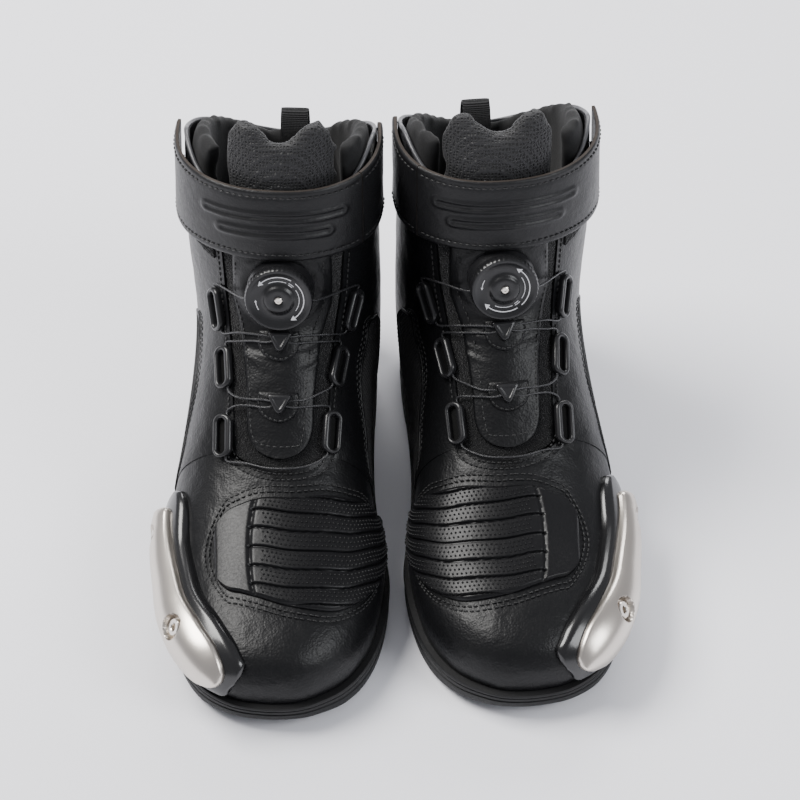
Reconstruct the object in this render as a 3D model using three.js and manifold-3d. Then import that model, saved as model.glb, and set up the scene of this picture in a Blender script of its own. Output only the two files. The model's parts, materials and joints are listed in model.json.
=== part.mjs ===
// A pair of short leather motorcycle boots: wire lacing dial on the tongue, ankle strap,
// ribbed shift pad and a metal-plated toe slider. Millimetres, +Z up, toes towards -Y.
import * as THREE from 'three';
import { mergeVertices } from 'three/addons/utils/BufferGeometryUtils.js';
import Module from 'manifold-3d';

const wasm = await Module();
wasm.setup();

// ---------------------------------------------------------------- driving dimensions
const SOLE_LENGTH = 290;          // about EU size 42
const WALL = 3.2;                 // leather with its lining
const GAP = 0.3;                  // clearance between pieces that touch
const WELT = 3;                   // how far the sole stands out past the upper
const INSOLE_THICK = 5;
const WIRE_RADIUS = 0.55;
const WIRE_ROOM = 0.35;           // play round the wire in its guides
const WIRE_STEPS = 84;
const DIAL_RADIUS = 17;
const DIAL_TILT = 14;             // degrees, how far the dial faces up
const SHIELD_TOP = 2.2;           // outer face of the tongue shield over the boot surface
const GUIDE_LENGTH = 22;
const GUIDE_WIDTH = 9;
const STRAP_INNER = 3;            // strap faces over the boot surface
const STRAP_OUTER = 5.6;
const STRAP_FOLD = 0.86;          // radians round from the front: the strap opens about this line
const STRAP_END = 1.66;           // radians round to the lateral side
const YAW_PIVOT = 140;            // each boot is turned about this point of its length

// where each boot stands: centre line, shift back, toe-out angle, mirror
const RIGHT = { name: 'right', x: -60, y: 0, toeOut: 2.5, mirror: 1 };
const LEFT = { name: 'left', x: 53, y: 8, toeOut: 6, mirror: -1 };

// ---------------------------------------------------------------- the boot's form
// Section planes fanned round the instep, from toe tip to collar. In a right boot's own frame
// x runs to the inner (medial) side, y back from the toe tip and z up. Each row gives the
// section's top/front point, its bottom/back point, the half widths, and its roundness:
// [topY, topZ, backY, backZ, medial, lateral, widestAt, topPower, backPower, topX, backX]
const FORM = [
  [1.5, 24, 1.5, 18, 0.01, 0.01, 0.5, 2, 2, 4, 4],
  [3, 31, 3, 13, 14, 15.5, 0.45, 2, 2.2, 4, 4],
  [8, 38.5, 8, 9, 24, 26, 0.42, 2.1, 2.5, 4, 4],
  [16, 43.5, 16, 7, 33.5, 34.5, 0.38, 2.2, 3, 4, 4],
  [28, 47.5, 28, 6, 41.5, 41.5, 0.34, 2.3, 3.5, 4, 3.5],
  [44, 51, 44, 6, 47.5, 47, 0.31, 2.3, 4, 4, 3],
  [64, 55.5, 64, 6, 51.5, 50.5, 0.29, 2.2, 4, 4, 2],
  [84, 61.5, 84, 6, 53, 54, 0.27, 2.1, 4, 3.5, 1],
  [100, 68.5, 102, 6, 51.5, 56, 0.25, 2.05, 4, 2.5, 0],
  [114, 78, 122, 6, 47.5, 55.5, 0.25, 2, 4, 1.5, 0],
  [130, 93, 146, 6, 44.5, 53.5, 0.26, 2, 4, 1, 0],
  [146, 107, 172, 6, 43, 51.5, 0.28, 2, 4, 0.5, 0],
  [158, 118.5, 204, 6, 43, 50, 0.32, 2, 3.6, 0, 0],
  [164, 128, 240, 6, 44.5, 49.5, 0.38, 2, 3, 0, 0],
  [167, 138, 272, 8, 45, 50, 0.44, 2, 2.6, 0, 0],
  [170, 150, 287, 30, 45.5, 51, 0.5, 2, 2.3, 0, 0],
  [173.5, 163, 289, 58, 45, 52, 0.52, 2.1, 2.2, 0, 0],
  [177, 176, 286, 86, 44.7, 52, 0.52, 2.2, 2.2, 0, 0],
  [180, 189, 281, 115, 44.4, 51.5, 0.52, 2.2, 2.1, 0, 0],
  [183, 202, 278, 145, 44.2, 51, 0.51, 2.2, 2.1, 0, 0],
  [186, 212, 277, 170, 44, 50.5, 0.5, 2.2, 2.1, 0, 0],
  [189, 222, 276, 195, 44, 50, 0.5, 2.2, 2.1, 0, 0],
];
const END = FORM.length - 1;
const MEDIAL = 4;
const LATERAL = 5;

const vec = (x, y, z) => new THREE.Vector3(x, y, z);
const rad = THREE.MathUtils.degToRad;
const mix = THREE.MathUtils.lerp;

function formRow(i) {
  if (i < 0) {
    return FORM[1].map((value, k) => (k === MEDIAL || k === LATERAL ? -value : value));
  }
  if (i > END) {
    return FORM[END].map((value, k) => 2 * value - FORM[END - 1][k]);
  }
  return FORM[i];
}

// the section at a place t between the rows, by a Catmull-Rom blend
function section(t) {
  const place = THREE.MathUtils.clamp(t, 0, END);
  const i = Math.min(Math.floor(place), END - 1);
  const f = place - i;
  const [a, b, c, d] = [formRow(i - 1), formRow(i), formRow(i + 1), formRow(i + 2)];
  return b.map((value, k) => 0.5 * (2 * value + (c[k] - a[k]) * f
    + (2 * a[k] - 5 * value + 4 * c[k] - d[k]) * f * f
    + (3 * value - a[k] - 3 * c[k] + d[k]) * f * f * f));
}

// a point of the form: angle 0 at the top/front, positive to the medial side, pi at the back
function formPoint(t, angle) {
  const [topY, topZ, backY, backZ, medial, lateral, widest, topPower, backPower, topX, backX] = section(t);
  const sine = Math.sin(angle);
  const cosine = Math.cos(angle);
  const power = cosine > 0 ? topPower : backPower;
  const r = (Math.abs(sine) ** power + Math.abs(cosine) ** power) ** (1 / power);
  const width = sine > 0 ? medial : lateral;
  const rise = widest + (cosine > 0 ? 1 - widest : widest) * cosine / r;
  return vec(mix(backX, topX, rise) + width * sine / r, mix(backY, topY, rise), mix(backZ, topZ, rise));
}

function normalAt(t, angle) {
  const step = 0.02;
  const along = formPoint(Math.min(t + step, END), angle).sub(formPoint(Math.max(t - step, step), angle));
  const round = formPoint(t, angle + step).sub(formPoint(t, angle - step));
  return round.cross(along).normalize();
}

// a point that stands off the form by a distance
function over(t, angle, distance) {
  return formPoint(t, angle).addScaledVector(normalAt(t, angle), distance);
}

// ---------------------------------------------------------------- solids
function indexed(points, faces) {
  const geometry = new THREE.BufferGeometry().setFromPoints(points);
  geometry.setIndex(faces.flat());
  return outward(geometry);
}

// turns a closed geometry's faces outwards, by the sign of its volume
function outward(geometry) {
  const p = geometry.getAttribute('position');
  const index = geometry.getIndex().array;
  const corner = (i) => vec().fromBufferAttribute(p, index[i]);
  let volume = 0;
  for (let i = 0; i < index.length; i += 3) {
    volume += corner(i).dot(corner(i + 1).cross(corner(i + 2)));
  }
  if (volume < 0) {
    for (let i = 0; i < index.length; i += 3) {
      [index[i], index[i + 1]] = [index[i + 1], index[i]];
    }
  }
  return geometry;
}

// joins rings of points into one closed solid, with a cap at each end
function loft(rings) {
  const count = rings[0].length;
  const points = rings.flat();
  const faces = [];
  for (let i = 0; i + 1 < rings.length; i += 1) {
    for (let j = 0; j < count; j += 1) {
      const [a, b] = [i * count + j, i * count + (j + 1) % count];
      faces.push([a, b, b + count], [a, b + count, a + count]);
    }
  }
  for (const end of [0, rings.length - 1]) {
    const centre = rings[end].reduce((sum, p) => sum.add(p), vec(0, 0, 0)).divideScalar(count);
    const hub = points.push(centre) - 1;
    for (let j = 0; j < count; j += 1) {
      const [a, b] = [end * count + j, end * count + (j + 1) % count];
      faces.push(end === 0 ? [b, a, hub] : [a, b, hub]);
    }
  }
  return indexed(points, faces);
}

// a sheet of leather or plastic on the form, between two distances from it: place(u, v)
// gives t and angle, and the distances may vary with u and v
function slab(nu, nv, place, inner, outer) {
  const distance = (d, u, v) => (typeof d === 'function' ? d(u, v) : d);
  const points = [];
  for (const d of [outer, inner]) {
    for (let i = 0; i <= nu; i += 1) {
      for (let j = 0; j <= nv; j += 1) {
        const [t, angle] = place(i / nu, j / nv);
        points.push(over(t, angle, distance(d, i / nu, j / nv)));
      }
    }
  }
  const back = (nu + 1) * (nv + 1);
  const at = (i, j) => i * (nv + 1) + j;
  const faces = [];
  for (let i = 0; i < nu; i += 1) {
    for (let j = 0; j < nv; j += 1) {
      const [a, b, c, d] = [at(i, j), at(i + 1, j), at(i + 1, j + 1), at(i, j + 1)];
      faces.push([a, b, c], [a, c, d], [a + back, c + back, b + back], [a + back, d + back, c + back]);
    }
  }
  const wall = (a, b) => faces.push([b, a, a + back], [b, a + back, b + back]);
  for (let i = 0; i < nu; i += 1) {
    wall(at(i, 0), at(i + 1, 0));
    wall(at(i + 1, nv), at(i, nv));
  }
  for (let j = 0; j < nv; j += 1) {
    wall(at(0, j + 1), at(0, j));
    wall(at(nu, j), at(nu, j + 1));
  }
  return indexed(points, faces);
}

// a three.js geometry as a solid that can be cut and joined
function solid(geometry) {
  const bare = geometry.clone();
  bare.deleteAttribute('normal');
  bare.deleteAttribute('uv');
  const merged = outward(mergeVertices(bare, 1e-4));
  return new wasm.Manifold(new wasm.Mesh({
    numProp: 3,
    vertProperties: Float32Array.from(merged.getAttribute('position').array),
    triVerts: Uint32Array.from(merged.getIndex().array),
  }));
}

function geometryOf(shape) {
  const mesh = shape.getMesh();
  const geometry = new THREE.BufferGeometry();
  geometry.setAttribute('position', new THREE.BufferAttribute(mesh.vertProperties, 3));
  geometry.setIndex(new THREE.BufferAttribute(mesh.triVerts, 1));
  return geometry;
}

// a side-view outline of [y, z] points, as a bar right across the boot
function sideBar(outline, halfWidth = 90) {
  const shape = new THREE.Shape(outline.map(([y, z]) => new THREE.Vector2(y, z)));
  const bar = new THREE.ExtrudeGeometry(shape, { depth: 2 * halfWidth, bevelEnabled: false });
  bar.applyMatrix4(new THREE.Matrix4().makeBasis(vec(0, 1, 0), vec(0, 0, 1), vec(1, 0, 0)));
  bar.translate(-halfWidth, 0, 0);
  return solid(bar);
}

// a value between hand-chosen [place, value] pairs
function along(pairs, place) {
  const next = pairs.findIndex(([p]) => p > place);
  if (next === 0) return pairs[0][1];
  if (next < 0) return pairs[pairs.length - 1][1];
  const [[a, low], [b, high]] = [pairs[next - 1], pairs[next]];
  return mix(low, high, (place - a) / (b - a));
}

// the angle between two limits at which a falling or rising measure passes a wanted value
function solve(measure, low, high, wanted) {
  const rising = measure(high) > measure(low);
  let [a, b] = [low, high];
  for (let n = 0; n < 30; n += 1) {
    const middle = (a + b) / 2;
    if ((measure(middle) < wanted) === rising) a = middle;
    else b = middle;
  }
  return (a + b) / 2;
}

function tube(points, radius, steps, sides = 4) {
  const path = new THREE.CatmullRomCurve3(points, false, 'centripetal');
  const shape = new THREE.Shape();
  for (let i = 0; i < sides; i += 1) {
    const turn = 2 * Math.PI * i / sides;
    shape[i ? 'lineTo' : 'moveTo'](radius * Math.cos(turn), radius * Math.sin(turn));
  }
  shape.closePath();
  return new THREE.ExtrudeGeometry(shape, { steps, extrudePath: path, bevelEnabled: false });
}

// ---------------------------------------------------------------- the body and its levels
const FEATHER = [[-20, 17], [0, 17], [20, 15.8], [40, 15], [100, 14], [140, 15.5], [180, 18], [240, 24], [320, 24]];
const featherZ = (y) => along(FEATHER, y);
const ROWS = [0.6, 1.3, 2.4, 3.8, 5.6, 7.4, 9, 10.5, 11.8, 13, 14, 15];
const TOP_STEPS = 3;
const ROUND = 20;

// the collar slopes down to the throat in front, and dips at the back, over the Achilles tendon
const frontSlope = (angle) => 1 - THREE.MathUtils.smoothstep(Math.abs(angle), rad(36), rad(82));
const backDip = (angle) => THREE.MathUtils.smoothstep(Math.abs(angle), rad(105), Math.PI);
const collarTop = (angle) => 19.7 - 0.6 * backDip(angle) - 1.7 * frontSlope(angle);

function bootSolid(distance, topExtra) {
  const rings = [];
  const angles = Array.from({ length: ROUND }, (_, j) => -Math.PI + 2 * Math.PI * j / ROUND);
  for (const t of ROWS) {
    rings.push(angles.map((angle) => over(t, angle, distance)));
  }
  for (let k = 1; k <= TOP_STEPS; k += 1) {
    rings.push(angles.map((angle) => {
      const t = mix(15, collarTop(angle) + topExtra, k / TOP_STEPS);
      return over(t, angle, distance);
    }));
  }
  return solid(loft(rings));
}

const underFeather = (lift) => sideBar([[-20, -40], ...FEATHER.map(([y, z]) => [y, z + lift]), [320, -40]]);

// the throat: open down the front, round at its lower end
const THROAT_START = 8.4;
const THROAT_ROUND_END = 9.6;
const THROAT_HALF = [[9.6, 22.5], [10.3, 23.4], [12, 25.2], [14, 28], [16, 30], [20, 33], [21, 33]];

function throatHalf(t) {
  const straight = along(THROAT_HALF, t);
  if (t >= THROAT_ROUND_END) return straight;
  const drop = (THROAT_ROUND_END - t) / (THROAT_ROUND_END - THROAT_START);
  return straight * Math.sqrt(Math.max(1 - drop * drop, 0.02));
}

// the angle at which the form is a given distance to one side of its middle line
function angleAt(t, halfWidth, side) {
  return solve((angle) => Math.abs(formPoint(t, side * angle).x - formPoint(t, 0).x), 0, 1.4, halfWidth) * side;
}

// rows crowd towards the round lower end
const crowded = (u) => u ** 1.8;

function throatPlace(margin, lift, top) {
  return (u, v) => {
    const across = 2 * v - 1;
    const t = mix(THROAT_START + lift, top(across), crowded(u));
    const half = Math.max(throatHalf(t - lift) - margin, 1) * Math.abs(across);
    return [t, half < 0.01 ? 0 : angleAt(t, half, Math.sign(across))];
  };
}

// ---------------------------------------------------------------- pieces of one boot
const outer = bootSolid(0, 0);
const clearOfUpper = bootSolid(GAP, 0);
const lining = bootSolid(-WALL, 0.6);
const throat = solid(slab(12, 8, throatPlace(0, 0, () => 20.95), -9, 7));
const upper = outer.subtract(lining).subtract(throat).subtract(underFeather(GAP / 2));

// seam between vamp and quarters, and the heel counter's edge, in side view
const VAMP_SEAM = [[88, 150], [108, 86], [117, 66], [130, 40], [150, 12], [162, -40]];
const COUNTER_EDGE = [[232, -40], [227, 24], [237, 62], [262, 96], [320, 112]];

function vampRegion(shift) {
  return sideBar([[-40, -40], [-40, 150], ...VAMP_SEAM.map(([y, z]) => [y + shift, z])]);
}

function counterRegion(grow) {
  return sideBar([...COUNTER_EDGE.map(([y, z]) => [y - grow, z + grow]), [330, 112 + grow], [330, -40]]);
}

function sideRegion(side) {
  const block = new THREE.BoxGeometry(100, 400, 300);
  block.translate(side * (50 + GAP / 2), 150, 100);
  return solid(block);
}

function quarter(side) {
  return upper.subtract(vampRegion(GAP)).subtract(counterRegion(GAP)).intersect(sideRegion(side));
}

// the line where the upper meets the sole, moved out by the welt
function soleOutline() {
  const places = [0.4, 0.8, 1.4, 2.2, 3, 4, 5, 6, 7, 8, 9, 10, 11, 12, 13, 13.6, 14.1, 14.5, 14.7];
  const foot = (t, side) => {
    const drop = (angle) => {
      const p = formPoint(t, side * angle);
      return p.z - featherZ(p.y);
    };
    return formPoint(t, side * solve(drop, Math.PI / 2, Math.PI, 0));
  };
  const line = [...places.map((t) => foot(t, -1)), ...places.map((t) => foot(t, 1)).reverse()];
  return line.map((p, i) => {
    const before = line[(i + line.length - 1) % line.length];
    const after = line[(i + 1) % line.length];
    const out = vec(before.y - after.y, after.x - before.x, 0).normalize();
    return vec(p.x + WELT * out.x, p.y + WELT * out.y, 0);
  });
}

// underside of the sole in side view: toe spring, flat forefoot, arch, flat heel
const GROUND = [[-20, 10], [0, 7.5], [14, 3.4], [28, 0.9], [42, 0], [148, 0], [156, 3], [198, 5], [206, 0],
  [276, 0], [SOLE_LENGTH, 2], [320, 4]];

function outsole() {
  const outline = soleOutline();
  const column = solid(loft([-5, 40].map((z) => outline.map((p) => vec(p.x, p.y, z)))));
  const above = sideBar([...FEATHER.map(([y, z]) => [y, z - GAP / 2]), [320, 90], [-20, 90]]);
  const below = sideBar([[-20, -40], ...GROUND, [320, -40]]);
  return column.subtract(above).subtract(below);
}

function insole() {
  const inside = bootSolid(-WALL - GAP, 0);
  const above = sideBar([...FEATHER.map(([y, z]) => [y, z + INSOLE_THICK]), [320, 300], [-20, 300]]);
  return inside.subtract(underFeather(GAP)).subtract(above);
}

// the collar's padding, a C round the inside of the shaft, open over the tongue
function collarPadding() {
  const front = rad(47);
  const place = (u, v) => {
    const angle = mix(front, 2 * Math.PI - front, v);
    const signed = angle > Math.PI ? angle - 2 * Math.PI : angle;
    const top = 19.8 - 0.6 * backDip(signed) - 0.5 * frontSlope(signed);
    return [mix(17.2, top, u), signed];
  };
  return slab(3, 18, place, -WALL - 8.4, -WALL - 1.3);
}

// the tongue's top rises in two lobes beside a dip in the middle
function tonguePadding() {
  const top = (across) => 20.05 + 0.9 * Math.sin(Math.PI * Math.min(Math.abs(across) / 0.75, 1) / 2) ** 2;
  return slab(12, 8, throatPlace(0.8, 0.1, top), -11.5, -1);
}

const SHIELD_HALF = [[9.7, 16.3], [10.3, 16.4], [12, 19.5], [13.6, 24], [15.2, 24], [17, 23]];

function tongueShield(inner, outer) {
  const start = 8.7;
  const place = (u, v) => {
    const t = mix(start, 16, crowded(u));
    const drop = Math.max((9.7 - t) / (9.7 - start), 0);
    const half = along(SHIELD_HALF, t) * Math.sqrt(Math.max(1 - drop * drop, 0.05));
    const across = 2 * v - 1;
    return [t, across === 0 ? 0 : angleAt(t, half * Math.abs(across), Math.sign(across))];
  };
  return slab(10, 6, place, inner, outer);
}

const shieldRoom = solid(tongueShield(-3, SHIELD_TOP + GAP)).add(bootSolid(SHIELD_TOP + GAP, 0));

// strap edges, by height: both dip towards the sides
const sideways = (angle) => Math.sin(Math.min(Math.abs(angle), Math.PI / 2)) ** 2;
const strapLow = (angle) => 155 - 12 * sideways(angle);
const strapHigh = (angle) => 191 - 4 * sideways(angle);

function strapPiece(from, to, steps, sink) {
  const place = (u, v) => {
    const angle = mix(from, to, v);
    const height = mix(strapLow(angle), strapHigh(angle), u);
    return [solve((t) => over(t, angle, STRAP_OUTER).z, 14, 20.9, height), angle];
  };
  return slab(2, steps, place, (u, v) => STRAP_INNER - sink * v, (u, v) => STRAP_OUTER - sink * v);
}

// webbing folded over the back of the collar
function pullLoop() {
  const halfWidth = 7;
  const thick = 1.5;
  const middle = [[281, 128], [280.7, 146], [278.5, 160], [271.5, 167], [264.5, 160], [262.6, 146], [262.6, 136]];
  const curve = new THREE.SplineCurve(middle.map(([y, z]) => new THREE.Vector2(y, z)));
  const places = curve.getPoints(12);
  const side = (sign) => places.map((p, i) => {
    const ahead = places[Math.min(i + 1, 12)].clone().sub(places[Math.max(i - 1, 0)]).normalize();
    return [p.x - sign * ahead.y * thick / 2, p.y + sign * ahead.x * thick / 2];
  });
  return sideBar([...side(1), ...side(-1).reverse()], halfWidth);
}

// shift pad: middle line and half height, by the angle round the forefoot
const PAD_MIDDLE = [[-37, 6.15], [-10, 6.15], [6, 6.05], [25, 6.15], [41, 6.35], [53, 6.7], [69, 7.3], [80, 8]];
const PAD_HALF = [[-37, 0.35], [-30, 0.95], [-19, 1.25], [6, 1.5], [41, 1.65], [60, 1.35], [74, 0.8], [80, 0.3]];

function shiftPad() {
  const place = (u, v) => {
    const degrees = mix(-37, 80, v);
    return [along(PAD_MIDDLE, degrees) + (2 * u - 1) * along(PAD_HALF, degrees), rad(degrees)];
  };
  return solid(slab(4, 14, place, -1, 2.6)).subtract(clearOfUpper);
}

// toe slider: edges as angles round the form, by the place along it
const BASE_UPPER = [[1.3, -44], [1.95, -27], [2.7, -26], [4.2, -34.5], [5.45, -47], [6.65, -54], [8.3, -56], [8.9, -63]];
const PLATE_UPPER = [[1.75, -52], [2.3, -44], [3, -41], [4.1, -45.5], [5.6, -56.5], [7, -63.5], [8.35, -65]];
const BASE_LOW_Z = [[1.3, 20], [3, 19], [8, 19.5], [8.9, 25]];
const PLATE_LOW_Z = [[1.75, 26], [2.6, 23.5], [5, 22], [7.8, 23], [8.35, 29]];

function sliderPlace(upperEdge, lowEdge) {
  const [start, end] = [upperEdge[0][0], upperEdge[upperEdge.length - 1][0]];
  return (u, v) => {
    const t = mix(start, end, u);
    const high = rad(along(upperEdge, t));
    const low = solve((angle) => formPoint(t, angle).z, high, -Math.PI, along(lowEdge, t));
    return [t, mix(high, low, v)];
  };
}

const crown = (u) => Math.sin(Math.PI * u);
const baseFace = (u, v) => 2.6 + 4 * crown(u) ** 0.6 * (0.45 + 0.55 * crown(v) ** 0.7);
const plateUnder = (u) => 2.6 + 4 * crown(0.06 + 0.88 * u) ** 0.6 + GAP + 0.15;
const plateFace = (u, v) => plateUnder(u) + 1 + 5 * crown(v) ** 0.7 * crown(0.1 + 0.8 * u);

const SCREWS = { front: [4.3, -62], rear: [7.6, -78] };
const SCREW_FOOT = 2.9;           // height of a screw's foot over the form
const SEAT = 1.4;                 // metal left under a screw's head

function turned(radius, from, to, sides = 8) {
  const cylinder = new THREE.CylinderGeometry(radius, radius, to - from, sides);
  cylinder.rotateX(Math.PI / 2);
  return cylinder.translate(0, 0, (from + to) / 2);
}

// a frame standing on the form: its z axis is the form's normal
function frameAt(t, angle, lift, toward) {
  const z = normalAt(t, angle);
  const x = toward.clone().addScaledVector(z, -toward.dot(z)).normalize();
  const frame = new THREE.Matrix4().makeBasis(x, z.clone().cross(x), z);
  return frame.setPosition(over(t, angle, lift));
}

function sliderPieces() {
  let base = solid(slab(8, 3, sliderPlace(BASE_UPPER, BASE_LOW_Z), -1, baseFace)).subtract(clearOfUpper);
  let plate = solid(slab(8, 3, sliderPlace(PLATE_UPPER, PLATE_LOW_Z), plateUnder, plateFace));
  const pieces = {};
  const [start, end] = [PLATE_UPPER[0][0], PLATE_UPPER[PLATE_UPPER.length - 1][0]];
  for (const [place, [t, degrees]] of Object.entries(SCREWS)) {
    const seat = plateUnder((t - start) / (end - start)) + SEAT;
    const frame = frameAt(t, rad(degrees), 0, vec(0, -1, 0));
    const put = (geometry) => solid(geometry.applyMatrix4(frame));
    base = base.subtract(put(turned(2.4, SCREW_FOOT - GAP, 12)));
    plate = plate.subtract(put(turned(2.4, 2, 16))).subtract(put(turned(4.6, seat, 18)));
    const shank = put(turned(2, SCREW_FOOT, seat + 1));
    const head = put(turned(3.8, seat + GAP, seat + 2.3));
    pieces[`slider_screw_${place}`] = shank.add(head).subtract(put(turned(1.6, seat + 1, seat + 4, 6)));
  }
  const plateRoom = solid(slab(8, 3, sliderPlace(PLATE_UPPER, PLATE_LOW_Z), (u) => plateUnder(u) - GAP, 18));
  return { slider_base: base.subtract(plateRoom), slider_plate: plate, ...pieces };
}

// ---------------------------------------------------------------- lacing
const dialCentre = formPoint(13.92, 0);
const dialAxis = vec(0, -Math.cos(rad(DIAL_TILT)), Math.sin(rad(DIAL_TILT)));
const dialUp = vec(0, Math.sin(rad(DIAL_TILT)), Math.cos(rad(DIAL_TILT)));
const dialFrame = new THREE.Matrix4().makeBasis(vec(1, 0, 0), dialUp, dialAxis).setPosition(dialCentre);
const CAVITY_FLOOR = 4.2;
const BASE_TOP = 7.9;
const WIRE_LEVEL = 6;             // the wire leaves the housing at this height

function lathe(profile, sides = 16) {
  const spun = new THREE.LatheGeometry(profile.map(([r, h]) => new THREE.Vector2(r, h)), sides);
  return spun.rotateX(Math.PI / 2).applyMatrix4(dialFrame);
}

function ringProfile(points, sides) {
  return lathe([...points, points[0]], sides);
}

function dialPieces() {
  const inDial = (geometry) => solid(geometry.applyMatrix4(dialFrame));
  const tab = new THREE.BoxGeometry(11, 11, BASE_TOP + 6).translate(0, -13.5, (BASE_TOP - 6) / 2);
  const housing = inDial(turned(DIAL_RADIUS - 1.6, -6, BASE_TOP, 16)).add(inDial(tab));
  const pocket = inDial(turned(11.4, CAVITY_FLOOR, BASE_TOP + 4, 16));
  const knob = [[1.8, 8.2], [16.2, 8.2], [DIAL_RADIUS, 9], [DIAL_RADIUS, 12.8], [16.1, 13.9], [13.6, 13.6],
    [9.2, 12.7], [7.6, 12.8], [6.9, 14.2], [3, 14.2], [3, 12.9], [1.8, 12.9]];
  const spool = [[1.8, 4.5], [10.8, 4.5], [10.8, 5.1], [8.4, 5.4], [8.4, 6.5], [10.8, 6.9], [10.8, 7.6], [1.8, 7.6]];
  const screw = [[0, 4.8], [1.4, 4.8], [1.4, 13.2], [2.6, 13.2], [2.6, 14], [2.1, 14.4], [0, 14.4]];
  return {
    dial_base: housing.subtract(shieldRoom).subtract(pocket),
    dial_knob: ringProfile(knob),
    dial_spool: ringProfile(spool, 12),
    dial_screw: lathe(screw, 12),
  };
}

// each guide: its lower and upper end, as [t, degrees] on the form
const GUIDES = {
  lateral_top: [[12.35, -37.5], [14.2, -43]],
  lateral_middle: [[10.45, -30.5], [11.75, -34.5]],
  lateral_low: [[8.95, -29.5], [9.97, -31]],
  medial_top: [[12.65, 43], [14.4, 50]],
  medial_middle: [[10.7, 35.5], [12, 42]],
  medial_low: [[9.1, 31], [10.2, 35]],
};
const GUIDE_LIFT = 1.4;
const LIP_UNDER = 1.8;            // the guide's lip stands this high over its foot
const WIRE_OFFSET = 2.9;          // the wire runs on the throat side of the foot
const WIRE_HEIGHT = 0.9;

// a guide's own frame: x towards the throat, y up along the guide, z away from the boot
function guideFrame(ends) {
  const [low, high] = ends.map(([t, degrees]) => formPoint(t, rad(degrees)));
  const t = (ends[0][0] + ends[1][0]) / 2;
  const angle = rad((ends[0][1] + ends[1][1]) / 2);
  const y = high.clone().sub(low).normalize();
  const z = normalAt(t, angle);
  z.addScaledVector(y, -z.dot(y)).normalize();
  const x = y.clone().cross(z).multiplyScalar(Math.sign(ends[0][1]) > 0 ? -1 : 1);
  const frame = new THREE.Matrix4().makeBasis(x, y, z);
  return frame.setPosition(over(t, angle, GUIDE_LIFT));
}

const frames = Object.fromEntries(Object.entries(GUIDES).map(([name, ends]) => [name, guideFrame(ends)]));

const underLip = (name, y) => vec(WIRE_OFFSET, y, WIRE_HEIGHT).applyMatrix4(frames[name]);
const down = (name) => [12.5, 7, -7, -12.5].map((y) => underLip(name, y));
const up = (name) => down(name).reverse();
const lay = (...places) => places.map(([t, degrees, distance]) => over(t, rad(degrees), distance));
const inDialFrame = (x, y) => vec(x, y, WIRE_LEVEL).applyMatrix4(dialFrame);

// one wire, from the lateral side of the dial round all guides and back to the medial side
const route = [
  inDialFrame(-12.6, -1), inDialFrame(-18.5, -3),
  ...down('lateral_top'),
  ...lay([12, -24, 3.3], [11.82, -14, 3.4], [11.7, -6, 3.3], [11.52, 6, 3.3], [11.62, 16, 3.5], [11.85, 28, 3.4]),
  ...down('medial_middle'),
  ...lay([10.4, 24, 3.3], [10.16, 15, 3.4], [10.07, 6, 3.3], [9.92, -6, 3.3], [9.98, -14, 3.4], [10.05, -22, 3.3]),
  ...down('lateral_low'),
  ...lay([8.62, -17, 2], [8.42, -7, 2], [8.4, 4, 2], [8.58, 16, 2]),
  ...up('medial_low'),
  ...lay([10.12, 24, 3.2], [10, 15, 3.4], [9.93, 6, 4.9], [10.07, -6, 4.9], [10.13, -14, 3.6], [10.24, -22, 3.3]),
  ...up('lateral_middle'),
  ...lay([11.7, -24, 3.3], [11.6, -14, 3.5], [11.52, -6, 4.9], [11.7, 6, 4.9], [11.85, 16, 3.7], [12.15, 30, 3.4]),
  ...up('medial_top'),
  inDialFrame(18.5, -3), inDialFrame(12.6, -1),
];
const channel = solid(tube(route, WIRE_RADIUS + WIRE_ROOM, WIRE_STEPS));

function stadium(length, width) {
  const shape = new THREE.Shape();
  const straight = (length - width) / 2;
  shape.absarc(0, straight, width / 2, 0, Math.PI, false);
  shape.absarc(0, -straight, width / 2, Math.PI, 2 * Math.PI, false);
  return shape;
}

// a slotted lip on a narrower foot, so that the wire runs under the lip on the throat side
function guide(name) {
  const lip = stadium(GUIDE_LENGTH, GUIDE_WIDTH);
  lip.holes.push(stadium(14, 3.6));
  const flat = (shape, depth) => new THREE.ExtrudeGeometry(shape, { depth, bevelEnabled: false, curveSegments: 3 });
  const top = flat(lip, 1.4).translate(0, 0, LIP_UNDER);
  const foot = flat(stadium(GUIDE_LENGTH - 1, 5.4), LIP_UNDER + 0.2).translate(-1.7, 0, 0);
  return solid(top.applyMatrix4(frames[name])).add(solid(foot.applyMatrix4(frames[name])));
}

function keeper(t) {
  const shape = new THREE.Shape([[-6.6, 4.6], [-5.8, 5.2], [5.8, 5.2], [6.6, 4.6], [1.2, -6.4], [-1.2, -6.4]]
    .map(([x, y]) => new THREE.Vector2(x, y)));
  const block = new THREE.ExtrudeGeometry(shape, { depth: 4.6, bevelEnabled: false });
  const frame = frameAt(t, 0, SHIELD_TOP + GAP + 0.1, vec(1, 0, 0));
  return solid(block.applyMatrix4(frame)).subtract(shieldRoom).subtract(channel);
}

// ---------------------------------------------------------------- finishes and assembly
const finish = (color, roughness, metalness = 0) => new THREE.MeshStandardMaterial({ color, roughness, metalness });
const LEATHER = finish(0x1c1c1e, 0.55);
const MESH_FABRIC = finish(0x161617, 0.9);
const RUBBER = finish(0x131314, 0.75);
const PLASTIC = finish(0x0d0d0f, 0.3);
const GLOSS_PLASTIC = finish(0x08080a, 0.12);
const SATIN_METAL = finish(0xb9b2a8, 0.32, 1);
const SCREW_STEEL = finish(0xa8a6a2, 0.25, 1);
const WIRE_NYLON = finish(0x1a1a1c, 0.35);

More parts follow.
